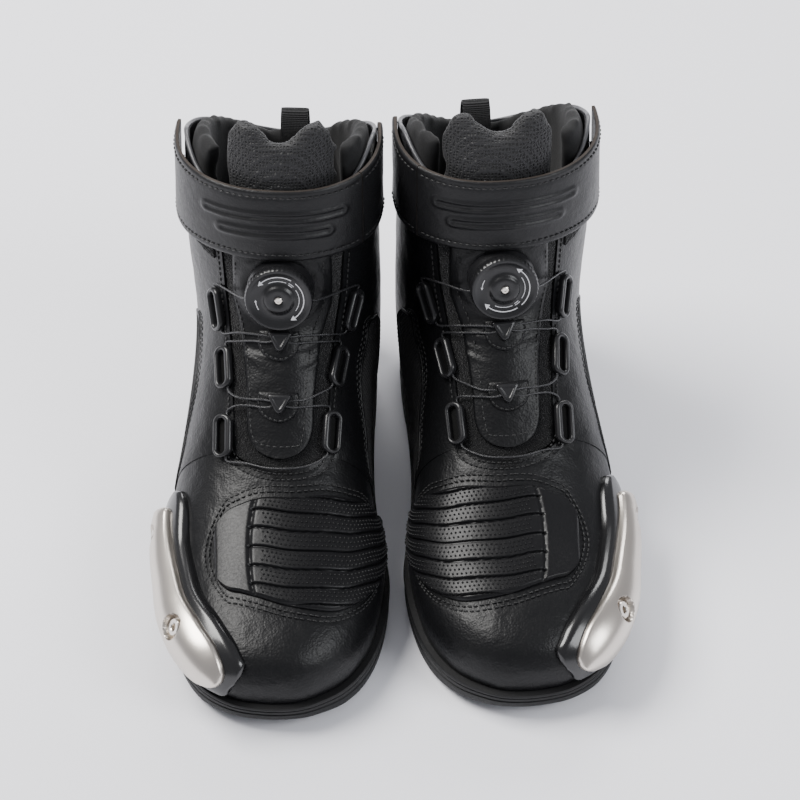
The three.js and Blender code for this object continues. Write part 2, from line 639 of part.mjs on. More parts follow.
const piecesOfBoot = {
  outsole: [outsole(), RUBBER],
  insole: [insole(), MESH_FABRIC],
  vamp: [upper.intersect(vampRegion(0)), LEATHER],
  lateral_quarter: [quarter(-1), LEATHER],
  medial_quarter: [quarter(1), LEATHER],
  heel_counter: [upper.intersect(counterRegion(0)), LEATHER],
  collar_padding: [collarPadding(), MESH_FABRIC],
  tongue_padding: [tonguePadding(), MESH_FABRIC],
  tongue_shield: [tongueShield(0, SHIELD_TOP), LEATHER],
  ankle_strap: [strapPiece(-STRAP_END, STRAP_FOLD - 0.01, 16, 0), LEATHER],
  strap_root: [strapPiece(STRAP_FOLD + 0.01, 1.7, 6, STRAP_INNER - 2 * GAP), LEATHER],
  pull_loop: [pullLoop(), MESH_FABRIC],
  shift_pad: [shiftPad(), RUBBER],
  keeper_upper: [keeper(11.55), PLASTIC],
  keeper_lower: [keeper(10), PLASTIC],
  lace_wire: [tube(route, WIRE_RADIUS, WIRE_STEPS), WIRE_NYLON],
};
for (const name of Object.keys(GUIDES)) {
  piecesOfBoot[`guide_${name}`] = [guide(name), PLASTIC];
}
const sliderFinish = { slider_base: GLOSS_PLASTIC, slider_plate: SATIN_METAL };
for (const [name, shape] of Object.entries(sliderPieces())) {
  piecesOfBoot[name] = [shape, sliderFinish[name] ?? SCREW_STEEL];
}
for (const [name, shape] of Object.entries(dialPieces())) {
  const cut = name === 'dial_base' ? shape.subtract(channel) : shape;
  piecesOfBoot[name] = [cut, name === 'dial_screw' ? SCREW_STEEL : PLASTIC];
}

function boot({ name, x, y, toeOut, mirror }) {
  const inner = new THREE.Group();
  inner.position.y = -YAW_PIVOT;
  inner.scale.x = mirror;
  for (const [part, [shape, material]] of Object.entries(piecesOfBoot)) {
    const whole = shape.isBufferGeometry ? solid(shape) : shape;
    const mesh = new THREE.Mesh(geometryOf(whole), material.clone());
    mesh.name = `${name}_${part}`;
    inner.add(mesh);
  }
  const placed = new THREE.Group();
  placed.position.set(x, y + YAW_PIVOT, 0);
  placed.rotation.z = -mirror * rad(toeOut);
  placed.add(inner);
  return placed;
}

const pair = new THREE.Group();
pair.add(boot(RIGHT), boot(LEFT));
pair.updateMatrixWorld(true);

// the origin is the middle of the pair's footprint, on the ground
const box = new THREE.Box3().setFromObject(pair, true);
const middle = box.getCenter(vec());
pair.position.set(-middle.x, -middle.y, -box.min.z);
pair.updateMatrixWorld(true);

export default pair;
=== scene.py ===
# %% [markdown]
# # A pair of motorcycle riding boots
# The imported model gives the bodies, joints and sizes. Each visible piece is then made here around
# it: leather panels on the boot's form, padded cloth, moulded plastic, metal, wire and thread. A
# boot is a curved thing with no flat side, so most pieces are sheets laid over one shared form.
# That keeps every layer at its right height over the next, as on the shoemaker's last.

# %% Load the frame
import json
import math
import bpy
import numpy as np
from mathutils import Matrix, Vector, noise


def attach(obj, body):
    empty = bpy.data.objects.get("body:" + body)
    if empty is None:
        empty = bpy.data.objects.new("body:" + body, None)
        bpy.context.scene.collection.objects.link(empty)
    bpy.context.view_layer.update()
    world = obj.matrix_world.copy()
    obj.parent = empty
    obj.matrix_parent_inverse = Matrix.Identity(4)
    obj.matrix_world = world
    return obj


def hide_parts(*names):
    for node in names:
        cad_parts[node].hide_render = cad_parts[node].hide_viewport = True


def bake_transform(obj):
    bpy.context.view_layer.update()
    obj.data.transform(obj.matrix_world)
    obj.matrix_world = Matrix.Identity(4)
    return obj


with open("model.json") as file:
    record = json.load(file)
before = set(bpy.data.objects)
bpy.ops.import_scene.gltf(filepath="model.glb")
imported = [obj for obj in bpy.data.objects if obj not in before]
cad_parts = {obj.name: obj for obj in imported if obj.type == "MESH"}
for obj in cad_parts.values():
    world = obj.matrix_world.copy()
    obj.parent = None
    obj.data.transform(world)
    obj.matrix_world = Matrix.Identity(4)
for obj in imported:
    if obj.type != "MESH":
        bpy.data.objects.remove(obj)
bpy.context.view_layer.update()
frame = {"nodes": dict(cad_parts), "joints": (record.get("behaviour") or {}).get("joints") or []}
SIDES = ("right", "left")
MM = 0.001
rng = np.random.default_rng(7)

# %% [markdown]
# ## The boot's form, and where each boot stands
# Shoemakers stretch a boot over a last. Here the last is a row of sections that fan round from the
# toe to the shaft's top, each a rounded square with its own heights and widths. A place on it is
# (t, angle): how far along the rows, and how far round from the front. A boot is drawn once, as a
# right boot in millimetres: x towards the other boot, y back from the toe tip, z up. The left boot
# is its mirror image. The dial's turning axis is known on the form and in the frame, so that one
# point fixes where each boot goes.

# %% The boot's form
FORM = np.array([
    # top y, z   back y, z  medial lateral widest top/back power  top x, back x
    [1.5, 24, 1.5, 18, .01, .01, .5, 2, 2, 4, 4],
    [3, 31, 3, 13, 14, 15.5, .45, 2, 2.2, 4, 4],
    [8, 38.5, 8, 9, 24, 26, .42, 2.1, 2.5, 4, 4],
    [16, 43.5, 16, 7, 33.5, 34.5, .38, 2.2, 3, 4, 4],
    [28, 47.5, 28, 6, 41.5, 41.5, .34, 2.3, 3.5, 4, 3.5],
    [44, 51, 44, 6, 47.5, 47, .31, 2.3, 4, 4, 3],
    [64, 55.5, 64, 6, 51.5, 50.5, .29, 2.2, 4, 4, 2],
    [84, 61.5, 84, 6, 53, 54, .27, 2.1, 4, 3.5, 1],
    [100, 68.5, 102, 6, 51.5, 56, .25, 2.05, 4, 2.5, 0],
    [114, 78, 122, 6, 47.5, 55.5, .25, 2, 4, 1.5, 0],
    [130, 93, 146, 6, 44.5, 53.5, .26, 2, 4, 1, 0],
    [146, 107, 172, 6, 43, 51.5, .28, 2, 4, .5, 0],
    [158, 118.5, 204, 6, 43, 50, .32, 2, 3.6, 0, 0],
    [164, 128, 240, 6, 44.5, 49.5, .38, 2, 3, 0, 0],
    [167, 138, 272, 8, 45, 50, .44, 2, 2.6, 0, 0],
    [170, 150, 287, 30, 45.5, 51, .5, 2, 2.3, 0, 0],
    [173.5, 163, 289, 58, 45, 52, .52, 2.1, 2.2, 0, 0],
    [177, 176, 286, 86, 44.7, 52, .52, 2.2, 2.2, 0, 0],
    [180, 189, 281, 115, 44.4, 51.5, .52, 2.2, 2.1, 0, 0],
    [183, 202, 278, 145, 44.2, 51, .51, 2.2, 2.1, 0, 0],
    [186, 212, 277, 170, 44, 50.5, .5, 2.2, 2.1, 0, 0],
    [189, 222, 276, 195, 44, 50, .5, 2.2, 2.1, 0, 0]])
END = len(FORM) - 1
first_phantom = FORM[1] * np.array([1, 1, 1, 1, -1, -1, 1, 1, 1, 1, 1])
ROWS = np.vstack([first_phantom, FORM, 2 * FORM[-1] - FORM[-2]])


def catmull_rom(a, b, c, d, f):
    """A smooth value between b and c, at the fraction f of the way, led by its neighbours a and d."""
    return .5 * (2 * b + (c - a) * f + (2 * a - 5 * b + 4 * c - d) * f ** 2
                 + (3 * b - a - 3 * c + d) * f ** 3)


def section(t):
    """The form's section at a place t along the boot, by a Catmull-Rom blend of its rows."""
    t = np.clip(np.asarray(t, float), 0, END)
    i = np.minimum(t.astype(int), END - 1)
    f = (t - i)[..., None]
    a, b, c, d = ROWS[i], ROWS[i + 1], ROWS[i + 2], ROWS[i + 3]
    return catmull_rom(a, b, c, d, f)


def form_point(t, angle):
    """A point of the form: angle 0 at the front, positive to the inner side, pi at the back."""
    top_y, top_z, back_y, back_z, medial, lateral, widest, n_top, n_back, top_x, back_x = np.moveaxis(
        section(t), -1, 0)
    sine, cosine = np.sin(angle), np.cos(angle)
    n = np.where(cosine > 0, n_top, n_back)
    r = (np.abs(sine) ** n + np.abs(cosine) ** n) ** (1 / n)
    rise = widest + np.where(cosine > 0, 1 - widest, widest) * cosine / r
    x = back_x + (top_x - back_x) * rise + np.where(sine > 0, medial, lateral) * sine / r
    return np.stack([x, back_y + (top_y - back_y) * rise, back_z + (top_z - back_z) * rise], -1)


def normal_at(t, angle):
    step = .02
    t, angle = np.broadcast_arrays(np.asarray(t, float), np.asarray(angle, float))
    along = form_point(np.minimum(t + step, END), angle) - form_point(np.maximum(t - step, step), angle)
    round_ = form_point(t, angle + step) - form_point(t, angle - step)
    n = np.cross(round_, along)
    return n / (np.linalg.norm(n, axis=-1, keepdims=True) + 1e-12)


def over(t, angle, distance=0.):
    """A point that stands off the form by a distance."""
    t, angle, distance = np.broadcast_arrays(*(np.asarray(v, float) for v in (t, angle, distance)))
    return form_point(t, angle) + normal_at(t, angle) * distance[..., None]


rad = np.radians
DIAL_T = 13.92
DIAL_TILT = rad(14)
DIAL_JOINT_RISE = 8.
dial_centre = form_point(DIAL_T, 0.)
dial_axis = np.array([0, -np.cos(DIAL_TILT), np.sin(DIAL_TILT)])
dial_up = np.array([0, np.sin(DIAL_TILT), np.cos(DIAL_TILT)])
TOE_OUT = {"right": rad(2.5), "left": rad(6)}


def standing(side):
    """The 4x4 that takes a right boot's millimetres to this boot's place, in metres."""
    mirror = 1 if side == "right" else -1
    turn = Matrix.Rotation(-mirror * TOE_OUT[side], 4, "Z") @ Matrix.Diagonal((mirror * MM, MM, MM, 1))
    joint = next(j for j in frame["joints"] if j["name"] == f"{side}_dial_turn")
    known = turn @ Vector(dial_centre + DIAL_JOINT_RISE * dial_axis)
    return Matrix.Translation(Vector(joint["pos_m"]) - known) @ turn


PLACE = {side: standing(side) for side in SIDES}
print("boots stand at", {s: tuple(round(v, 4) for v in PLACE[s].translation) for s in SIDES})

# %% [markdown]
# ## Camera, floor and light
# The view looks down on the toes from in front. The floor is a plain pale sweep, and the light is
# a broad soft box high on the left, a weaker one on the right and one behind for the rims.

# %% Camera
CAMERA_PITCH = rad(44)
CAMERA_REACH = 1.235
target = Vector((0, .138, .088))
shift = PLACE["right"] @ Vector((0, 140, 0)) - Vector((-.060, .140, 0))
target = target + Vector((shift.x, shift.y, 0))
camera = bpy.data.objects.new("camera", bpy.data.cameras.new("camera"))
bpy.context.collection.objects.link(camera)
camera.location = target + CAMERA_REACH * Vector((0, -math.cos(CAMERA_PITCH), math.sin(CAMERA_PITCH)))
camera.rotation_euler = (math.pi / 2 - CAMERA_PITCH, 0, 0)
camera.data.lens = 111.4
camera.data.sensor_width = 36
bpy.context.scene.camera = camera


# %% Materials' helpers
def new_material(name):
    material = bpy.data.materials.new(name)
    material.use_nodes = True
    return material, material.node_tree.nodes, material.node_tree.links


def add_node(nodes, kind, **settings):
    made = nodes.new(kind)
    for key, value in settings.items():
        if key in made.inputs:
            made.inputs[key].default_value = value
        else:
            setattr(made, key.lower().replace(" ", "_"), value)
    return made


# %% Floor and light
floor_material, nodes, links = new_material("floor")
nodes["Principled BSDF"].inputs["Base Color"].default_value = (.9, .9, .95, 1)
nodes["Principled BSDF"].inputs["Roughness"].default_value = .7
bpy.ops.mesh.primitive_plane_add(size=12, location=(0, 1, -.0004))
floor = bpy.context.object
floor.name = "floor"
floor.data.materials.append(floor_material)

world = bpy.data.worlds.new("studio")
bpy.context.scene.world = world
world.use_nodes = True
world.node_tree.nodes["Background"].inputs["Color"].default_value = (.84, .85, .9, 1)
world.node_tree.nodes["Background"].inputs["Strength"].default_value = .5


def soft_box(name, place, size, power, colour=(1, 1, 1)):
    light = bpy.data.lights.new(name, "AREA")
    light.shape = "RECTANGLE"
    light.size, light.size_y = size
    light.energy = power
    light.color = colour
    lamp = bpy.data.objects.new(name, light)
    bpy.context.collection.objects.link(lamp)
    lamp.location = place
    lamp.rotation_euler = (Vector((0, 0, .08)) - Vector(place)).to_track_quat("-Z", "Y").to_euler()


soft_box("key", (-1.1, .3, 1.7), (1.2, 1.0), 72, (1, .985, .96))
soft_box("fill", (1.4, -.7, 1.2), (.9, .9), 22, (.96, .98, 1))
soft_box("rim", (.3, 1.8, 1.3), (1.6, .7), 34)

# %% [markdown]
# ## Finishes
# Every finish is built from nodes. Leather has a fine cell grain with broader creases, cloth has a
# weave or a loop pile, mouldings a faint orange peel, and metal is nearly smooth. A picture could
# give such grain too, but it would need unwrapping and would stretch over the toe, where a pattern
# in space does not. All patterns read Object coordinates, in metres, so they stay put when the
# boot moves.


# %% Finish builder
def finish(name, colour, roughness, metallic=0., sheen=0., coat=0., patterns=(), mottling=.25,
           spread=.12, shine=.5):
    """A principled finish. patterns is a list of (kind, scale, height): each adds to the bump, and cells also
    paint shade into their holes and light onto their walls.
    """
    material, nodes, links = new_material(name)
    shader = nodes["Principled BSDF"]
    shader.inputs["Metallic"].default_value = metallic
    shader.inputs["Sheen Weight"].default_value = sheen
    shader.inputs["Sheen Roughness"].default_value = .4
    shader.inputs["Coat Weight"].default_value = coat
    shader.inputs["Coat Roughness"].default_value = .12
    shader.inputs["Specular IOR Level"].default_value = shine
    coordinates = add_node(nodes, "ShaderNodeTexCoord")
    broad = add_node(nodes, "ShaderNodeTexNoise", Scale=38, Detail=4)
    links.new(coordinates.outputs["Object"], broad.inputs["Vector"])
    tint = add_node(nodes, "ShaderNodeMix", data_type="RGBA")
    links.new(broad.outputs["Fac"], tint.inputs[0])
    tint.inputs[6].default_value = (*(c * (1 - mottling) for c in colour), 1)
    tint.inputs[7].default_value = (*(c * (1 + mottling) for c in colour), 1)
    links.new(tint.outputs[2], shader.inputs["Base Color"])
    fine = add_node(nodes, "ShaderNodeTexNoise", Scale=900, Detail=2)
    links.new(coordinates.outputs["Object"], fine.inputs["Vector"])
    gloss = add_node(nodes, "ShaderNodeMapRange")
    gloss.inputs["To Min"].default_value = roughness - spread
    gloss.inputs["To Max"].default_value = roughness + spread
    links.new(fine.outputs["Fac"], gloss.inputs["Value"])
    links.new(gloss.outputs["Result"], shader.inputs["Roughness"])
    normal = None
    for kind, scale, height in patterns:
        if kind in ("grain", "cells"):
            texture = add_node(nodes, "ShaderNodeTexVoronoi", Scale=scale,
                               feature="SMOOTH_F1" if kind == "grain" else "DISTANCE_TO_EDGE")
            texture.inputs["Randomness"].default_value = .85 if kind == "grain" else .3
            out = texture.outputs["Distance"]
        elif kind == "noise":
            texture = add_node(nodes, "ShaderNodeTexNoise", Scale=scale, Detail=5)
            out = texture.outputs["Fac"]
        else:
            texture = add_node(nodes, "ShaderNodeTexWave", Scale=scale,
                               Distortion=.4 if kind == "brush" else .15)
            texture.bands_direction = {"warp": "X", "weft": "Z", "brush": "Y"}[kind]
            out = texture.outputs["Fac"]
        links.new(coordinates.outputs["Object"], texture.inputs["Vector"])
        if kind == "cells":
            cell_height_and_shade = add_node(nodes, "ShaderNodeMapRange")
            cell_height_and_shade.inputs["From Min"].default_value, cell_height_and_shade.inputs["From Max"].default_value = .1, .3
            cell_height_and_shade.inputs["To Min"].default_value, cell_height_and_shade.inputs["To Max"].default_value = 1., 0.
            links.new(out, cell_height_and_shade.inputs["Value"])
            out = cell_height_and_shade.outputs["Result"]
            # Painted shade and light: the sunk cell holes are coloured darker and the raised walls lighter.
            painted_cell_shade = add_node(nodes, "ShaderNodeMix", data_type="RGBA")
            links.new(out, painted_cell_shade.inputs[0])
            painted_cell_shade.inputs[6].default_value = (*(c * .3 for c in colour), 1)
            painted_cell_shade.inputs[7].default_value = (*(c * 1.5 for c in colour), 1)
            links.new(painted_cell_shade.outputs[2], shader.inputs["Base Color"])
        bump = add_node(nodes, "ShaderNodeBump", Strength=1., Distance=height)
        links.new(out, bump.inputs["Height"])
        if normal:
            links.new(normal.outputs["Normal"], bump.inputs["Normal"])
        normal = bump
    if normal:
        links.new(normal.outputs["Normal"], shader.inputs["Normal"])
    return material


# %% The finishes
BLACK_LEATHER = finish("black_leather", (.004, .0041, .0047), .4, shine=.24,
                       patterns=[("grain", 950, .00013), ("noise", 120, .0006)])
SMOOTH_LEATHER = finish("smooth_leather", (.0045, .0046, .0052), .36, shine=.32,
                        patterns=[("grain", 1500, .00009), ("noise", 90, .0004)])
STRAP_LEATHER = finish("strap_leather", (.0062, .0062, .007), .43, shine=.29,
                       patterns=[("grain", 1300, .00009), ("noise", 200, .0003)])
RAW_EDGE = finish("raw_leather_edge", (.03, .023, .019), .75, shine=.3, patterns=[("noise", 1500, .0002)])
RIBBED_CLOTH = finish("ribbed_stretch_cloth", (.008, .008, .0085), .8, sheen=.08, shine=.2,
                      patterns=[("warp", 900, .0001), ("weft", 900, .0001)])
# The spacer mesh's cells carry painted shade in their holes and painted light on their walls.
SPACER_MESH = finish("spacer_mesh", (.011, .011, .012), .6, sheen=.08, shine=.35,
                     patterns=[("cells", 600, .0011)])
LOOP_PILE = finish("loop_pile", (.0075, .0075, .008), .9, sheen=.15, shine=.2,
                   patterns=[("noise", 1500, .0012), ("grain", 1100, .0006)])
LINING_CLOTH = finish("lining_cloth", (.0085, .0085, .009), .82, sheen=.08, shine=.25,
                      patterns=[("noise", 1800, .0002)])
FOOTBED_CLOTH = finish("footbed_cloth", (.03, .03, .032), .9, sheen=.1, shine=.2,
                       patterns=[("noise", 1600, .0003)])
WEBBING = finish("webbing", (.01, .01, .011), .8, sheen=.08, shine=.25,
                 patterns=[("warp", 420, .0004), ("weft", 420, .0004)])
SOLE_RUBBER = finish("sole_rubber", (.0095, .0095, .01), .62, shine=.3, patterns=[("noise", 700, .0002)])
PAD_RUBBER = finish("pad_rubber", (.0045, .0045, .0052), .36, shine=.24, patterns=[("noise", 500, .0001)])
GLOSS_BLACK = finish("gloss_black", (.005, .005, .0056), .24, coat=.25, spread=.03,
                     patterns=[("noise", 60, .0001)])
SATIN_METAL = finish("satin_metal", (.64, .59, .535), .3, metallic=1., mottling=.02, spread=.01,
                     patterns=[("noise", 30, .00003)])
STEEL = finish("screw_steel", (.66, .62, .57), .22, metallic=1., mottling=.04, spread=.03,
               patterns=[("noise", 900, .00002)])
DIAL_PLASTIC = finish("dial_plastic", (.0095, .0095, .0105), .3, spread=.05, shine=.4,
                      patterns=[("noise", 1600, .00004)])
GUIDE_PLASTIC = finish("guide_plastic", (.0095, .0095, .0105), .3, spread=.05, shine=.45,
                       patterns=[("noise", 1500, .00005)])
# Painted shade: near-black with little shine, laid under the guides' openings as the shade in their slots.
PAINTED_SLOT_SHADE = finish("painted_recess_shade", (.003, .003, .003), .6, shine=.1, patterns=[("noise", 900, .0001)])
NYLON_WIRE = finish("nylon_wire", (.022, .022, .024), .28, spread=.04, patterns=[("brush", 1500, .00004)])
THREAD = finish("thread", (.0085, .0085, .009), .5, sheen=.1, shine=.4, patterns=[("noise", 3000, .0001)])
PIPING = finish("piping", (.06, .06, .065), .35, shine=.5, patterns=[("noise", 1500, .00006)])
PALE_PRINT = finish("pale_print", (.62, .62, .64), .45, mottling=.05, patterns=[("noise", 1200, .00003)])
print("finishes:", len(bpy.data.materials))

# %% [markdown]
# ## Making pieces
# A piece is worked out in a right boot's millimetres and then put in place for each boot. Its
# mesh is mirrored for the left boot, and its faces are turned round so that they point outwards.
# Sheets could be drawn flat and shrink-wrapped on, but then their thickness and edges wander. A
# grid of (t, angle) places with two heights over the form gives both faces exactly.


# %% Put, smooth and settle a piece
def put(name, points, faces, side, material, body="boot", accent=None, accent_material=None, sharp=35):
    """Makes one piece for one boot: points in millimetres, on the body that it rides."""
    mesh = bpy.data.meshes.new(f"{side}_{name}_shown")
    place = np.array(PLACE[side])
    world_points = np.asarray(points).reshape(-1, 3) @ place[:3, :3].T + place[:3, 3]
    if side == "left":
        faces = [tuple(reversed(f)) for f in faces]
    mesh.from_pydata(world_points.tolist(), [], [tuple(int(i) for i in f) for f in faces])
    mesh.materials.append(material)
    if accent:
        mesh.materials.append(accent_material)
        index = np.zeros(len(faces), np.int32)
        index[accent] = 1
        mesh.polygons.foreach_set("material_index", index)
    piece = bpy.data.objects.new(mesh.name, mesh)
    bpy.context.collection.objects.link(piece)
    smooth(piece, sharp)
    piece["rides"] = f"{side}_{body}"
    return piece


def smooth(piece, sharp=35):
    bpy.ops.object.select_all(action="DESELECT")
    bpy.context.view_layer.objects.active = piece
    piece.select_set(True)
    bpy.ops.object.shade_smooth_by_angle(angle=rad(sharp))
    piece.select_set(False)


def settle(piece, node=None, slot=None, *modifiers):
    """Applies modifiers, then lets the piece ride, and hides the plain solid that it stands for."""
    bpy.ops.object.select_all(action="DESELECT")
    bpy.context.view_layer.objects.active = piece
    piece.select_set(True)
    for kind, settings in modifiers:
        modifier = piece.modifiers.new(kind.lower(), kind)
        for key, value in settings.items():
            setattr(modifier, key, value)
        bpy.ops.object.modifier_apply(modifier=modifier.name)
    piece.select_set(False)
    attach(piece, piece["rides"])
    if node:
        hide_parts(f"{piece['rides'].split('_')[0]}_{node}")
    return piece


# %% Faces of sheets and rings
def grid_faces(n, m, start=0):
    a = np.arange(n - 1)[:, None] * m + np.arange(m - 1)[None, :] + start
    return np.stack([a, a + 1, a + m + 1, a + m], -1).reshape(-1, 4)


def ring_faces(n, m, closed=False):
    """Faces between n rings of m points; the last ring meets the first when it is closed."""
    return [(i * m + j, i * m + (j + 1) % m, (i + 1) % n * m + (j + 1) % m, (i + 1) % n * m + j)
            for i in range(n if closed else n - 1) for j in range(m)]


def slab(outer, inner):
    """A sheet with thickness from two n x m grids of points; the rim's faces come last."""
    n, m = outer.shape[:2]
    count = n * m
    points = np.concatenate([outer.reshape(-1, 3), inner.reshape(-1, 3)])
    front = grid_faces(n, m)
    back = grid_faces(n, m, count)[:, ::-1]
    edge = [*range(m - 1), *range(m - 1, n * m - 1, m), *range(n * m - 1, (n - 1) * m, -1),
            *range((n - 1) * m, 0, -m)]
    rim = np.array([(edge[k], edge[k - 1], edge[k - 1] + count, edge[k] + count) for k in range(len(edge))])
    return outwards(points, np.concatenate([front, back, rim]))


def outwards(points, faces):
    """Turns all faces round if they enclose a negative volume."""
    p = points[faces[:, :3]]
    volume = np.einsum("ij,ij->", p[:, 0], np.cross(p[:, 1], p[:, 2]))
    q = points[faces[:, [0, 2, 3]]]
    volume += np.einsum("ij,ij->", q[:, 0], np.cross(q[:, 1], q[:, 2]))
    return points, (faces if volume > 0 else faces[:, ::-1])


# %% Solving and smooth curves
def solve(measure, low, high, wanted):
    """The value between two limits at which a measure passes the wanted one, element by element."""
    low, high, wanted = (np.array(v, float) for v in np.broadcast_arrays(low, high, wanted))
    rising = measure(high) > measure(low)
    for _ in range(30):
        middle = (low + high) / 2
        short = (measure(middle) < wanted) == rising
        low, high = np.where(short, middle, low), np.where(short, high, middle)
    return (low + high) / 2


def curve_between(pairs, place):
    """A smooth value between given (place, value) pairs."""
    p = np.array(pairs, float)
    x = np.clip(np.asarray(place, float), p[0, 0], p[-1, 0])
    slope = np.gradient(p[:, 1], p[:, 0])
    i = np.clip(np.searchsorted(p[:, 0], x, "right") - 1, 0, len(p) - 2)
    h = p[i + 1, 0] - p[i, 0]
    f = (x - p[i, 0]) / h
    return ((2 * f ** 3 - 3 * f ** 2 + 1) * p[i, 1] + (f ** 3 - 2 * f ** 2 + f) * h * slope[i]
            + (3 * f ** 2 - 2 * f ** 3) * p[i + 1, 1] + (f ** 3 - f ** 2) * h * slope[i + 1])


def spline(points, count):
    """Even points along a smooth curve through given ones."""
    p = np.asarray(points, float)
    ghost = np.vstack([2 * p[0] - p[1], p, 2 * p[-1] - p[-2]])
    u = np.linspace(0, len(p) - 1, 24 * len(p))
    i = np.minimum(u.astype(int), len(p) - 2)
    f = (u - i)[:, None]
    a, b, c, d = ghost[i], ghost[i + 1], ghost[i + 2], ghost[i + 3]
    q = catmull_rom(a, b, c, d, f)
    length = np.concatenate([[0], np.cumsum(np.linalg.norm(np.diff(q, axis=0), axis=1))])
    even = np.linspace(0, length[-1], count)
    return np.stack([np.interp(even, length, q[:, k]) for k in range(q.shape[1])], -1)


# %% Tubes
def tube_mesh(path, radius, sides=8):
    """A round tube along a path of points, with flat ends."""
    n = len(path)
    ahead = np.roll(path, -1, 0) - np.roll(path, 1, 0)
    ahead[0], ahead[-1] = path[1] - path[0], path[-1] - path[-2]
    ahead /= np.linalg.norm(ahead, axis=1, keepdims=True)
    side_way = np.zeros_like(path)
    reference = np.cross(ahead[0], [0, 0, 1.])
    reference /= np.linalg.norm(reference)
    for i in range(n):
        reference = reference - reference.dot(ahead[i]) * ahead[i]
        reference /= np.linalg.norm(reference)
        side_way[i] = reference
    up_way = np.cross(ahead, side_way)
    turn = 2 * np.pi * np.arange(sides) / sides
    spokes = np.cos(turn)[None, :, None] * side_way[:, None] + np.sin(turn)[None, :, None] * up_way[:, None]
    points = (path[:, None] + radius * spokes).reshape(-1, 3)
    caps = [tuple(range(sides))[::-1], tuple(range((n - 1) * sides, n * sides))]
    return points, [*ring_faces(n, sides), *caps]


# %% [markdown]
# ## The form's edges
# The upper meets the sole along the feather line. The throat is the opening down the front, and
# the collar dips at the back. These edges bound every leather panel.

# %% Edges of the upper
FEATHER = [(-20, 17), (0, 17), (20, 15.8), (40, 15), (100, 14), (140, 15.5), (180, 18), (240, 24), (320, 24)]
feather_y, feather_height = np.array(FEATHER, float).T


def feather_z(y):
    return np.interp(y, feather_y, feather_height)


def below_feather(t):
    p = form_point(t, np.full(np.shape(t), np.pi))
    return feather_z(p[..., 1]) - p[..., 2]


TOE_T = float(solve(below_feather, 0., 1., 0.))
HEEL_T = float(solve(below_feather, 14., 15., 0.))


def sole_angle(t, side):
    """How far round the upper goes before it meets the sole; right to the back above the heel."""
    def lift(angle):
        p = form_point(t, side * angle)
        return p[..., 2] - feather_z(p[..., 1])
    found = solve(lift, np.full(np.shape(t), np.pi / 2), np.pi, 0.)
    return np.where(np.asarray(t) > HEEL_T, np.pi, found)


THROAT_START = 8.4
THROAT_ROUND_END = 9.6
THROAT_HALF = [(9.6, 22.5), (10.3, 23.4), (12, 25.2), (14, 28), (16, 30), (20, 33), (21, 33)]


def throat_half(t):
    straight = np.interp(t, *np.array(THROAT_HALF).T)
    drop = np.clip((THROAT_ROUND_END - np.asarray(t, float)) / (THROAT_ROUND_END - THROAT_START), 0, 1)
    return straight * np.sqrt(np.maximum(1 - drop * drop, 0))


def angle_at(t, half, side):
    """The angle at which the form is a distance to one side of its middle line."""
    def aside(angle):
        return np.abs(form_point(t, side * angle)[..., 0] - form_point(t, 0 * angle)[..., 0])
    return side * solve(aside, 0., 1.5, half)


def both_sides(t, half, v):
    """Angles across the middle line: v from -1 to 1 reaches a distance to the left and to the right."""
    return np.where(v < 0, angle_at(t, half * np.abs(v), -1), angle_at(t, half * np.abs(v), 1))


def smoothstep(x, low, high):
    f = np.clip((x - low) / (high - low), 0, 1)
    return f * f * (3 - 2 * f)


def front_slope(angle):
    return 1 - smoothstep(np.abs(angle), rad(36), rad(82))


def back_dip(angle):
    return smoothstep(np.abs(angle), rad(105), np.pi)


def collar_top(angle):
    return 19.7 - .6 * back_dip(angle) - 1.7 * front_slope(angle)


print("the feather line meets the middle at t", round(TOE_T, 3), "and", round(HEEL_T, 3))


# %% [markdown]
# ## Thread
# A stitch is a short thread lying on the leather, its ends sunk in. A dashed line in the material
# would be lighter, but rows of thread catch the light one by one. So one small capsule of a few
# faces is copied along each seam, and a seam presses the leather down a little on the way.

# %% Stitches
STITCH_SIDES = 6
STITCH_RINGS = ((-1.25, .05), (-.95, .8), (0., 1.), (.95, .8), (1.25, .05))
seams = []


def stitch_shape(length, radius):
    turn = 2 * np.pi * np.arange(STITCH_SIDES) / STITCH_SIDES
    points = [(x * length / 2.5, radius * r * np.cos(a), radius * (r * np.sin(a) - .5 * (x / 1.25) ** 2))
              for x, r in STITCH_RINGS for a in turn]
    return np.array(points), np.array(ring_faces(len(STITCH_RINGS), STITCH_SIDES))[:, ::-1]


def stitch_line(places, lift, pitch=3.1, length=2.3, radius=.42):
    """Thread along a line of (t, angle) places, a given distance over the form at each, or all along."""
    lifts = np.broadcast_to(lift, (len(places),))
    dense = spline([(t, angle, rise) for (t, angle), rise in zip(places, lifts)], 400)
    path = over(*dense.T)
    normals = normal_at(dense[:, 0], dense[:, 1])
    seams.append(path)
    travelled = np.concatenate([[0], np.cumsum(np.linalg.norm(np.diff(path, axis=0), axis=1))])
    centres = np.arange(pitch / 2, travelled[-1], pitch)
    shape, faces = stitch_shape(length, radius)
    points, all_faces = [], []
    for k, s in enumerate(centres):
        i = min(np.searchsorted(travelled, s), len(path) - 2)
        x = path[i + 1] - path[i - 1]
        x /= np.linalg.norm(x)
        z = normals[i] - normals[i].dot(x) * x
        z /= np.linalg.norm(z)
        points.append(path[i] + shape @ np.array([x, np.cross(z, x), z]))
        all_faces.append(faces + k * len(shape))
    return np.concatenate(points), np.concatenate(all_faces)


def joined(shapes):
    points, faces, start = [], [], 0
    for p, f in shapes:
        points.append(p)
        faces += [tuple(int(i) + start for i in face) for face in f]
        start += len(p)
    return np.concatenate(points), faces


def sew(name, lines, body="boot", slot="leather"):
    points, faces = joined(lines)
    for side in SIDES:
        settle(put(name, points, faces, side, THREAD, body, sharp=60), None, slot)
    print(name, "stitches:", len(points) // (STITCH_SIDES * len(STITCH_RINGS)))


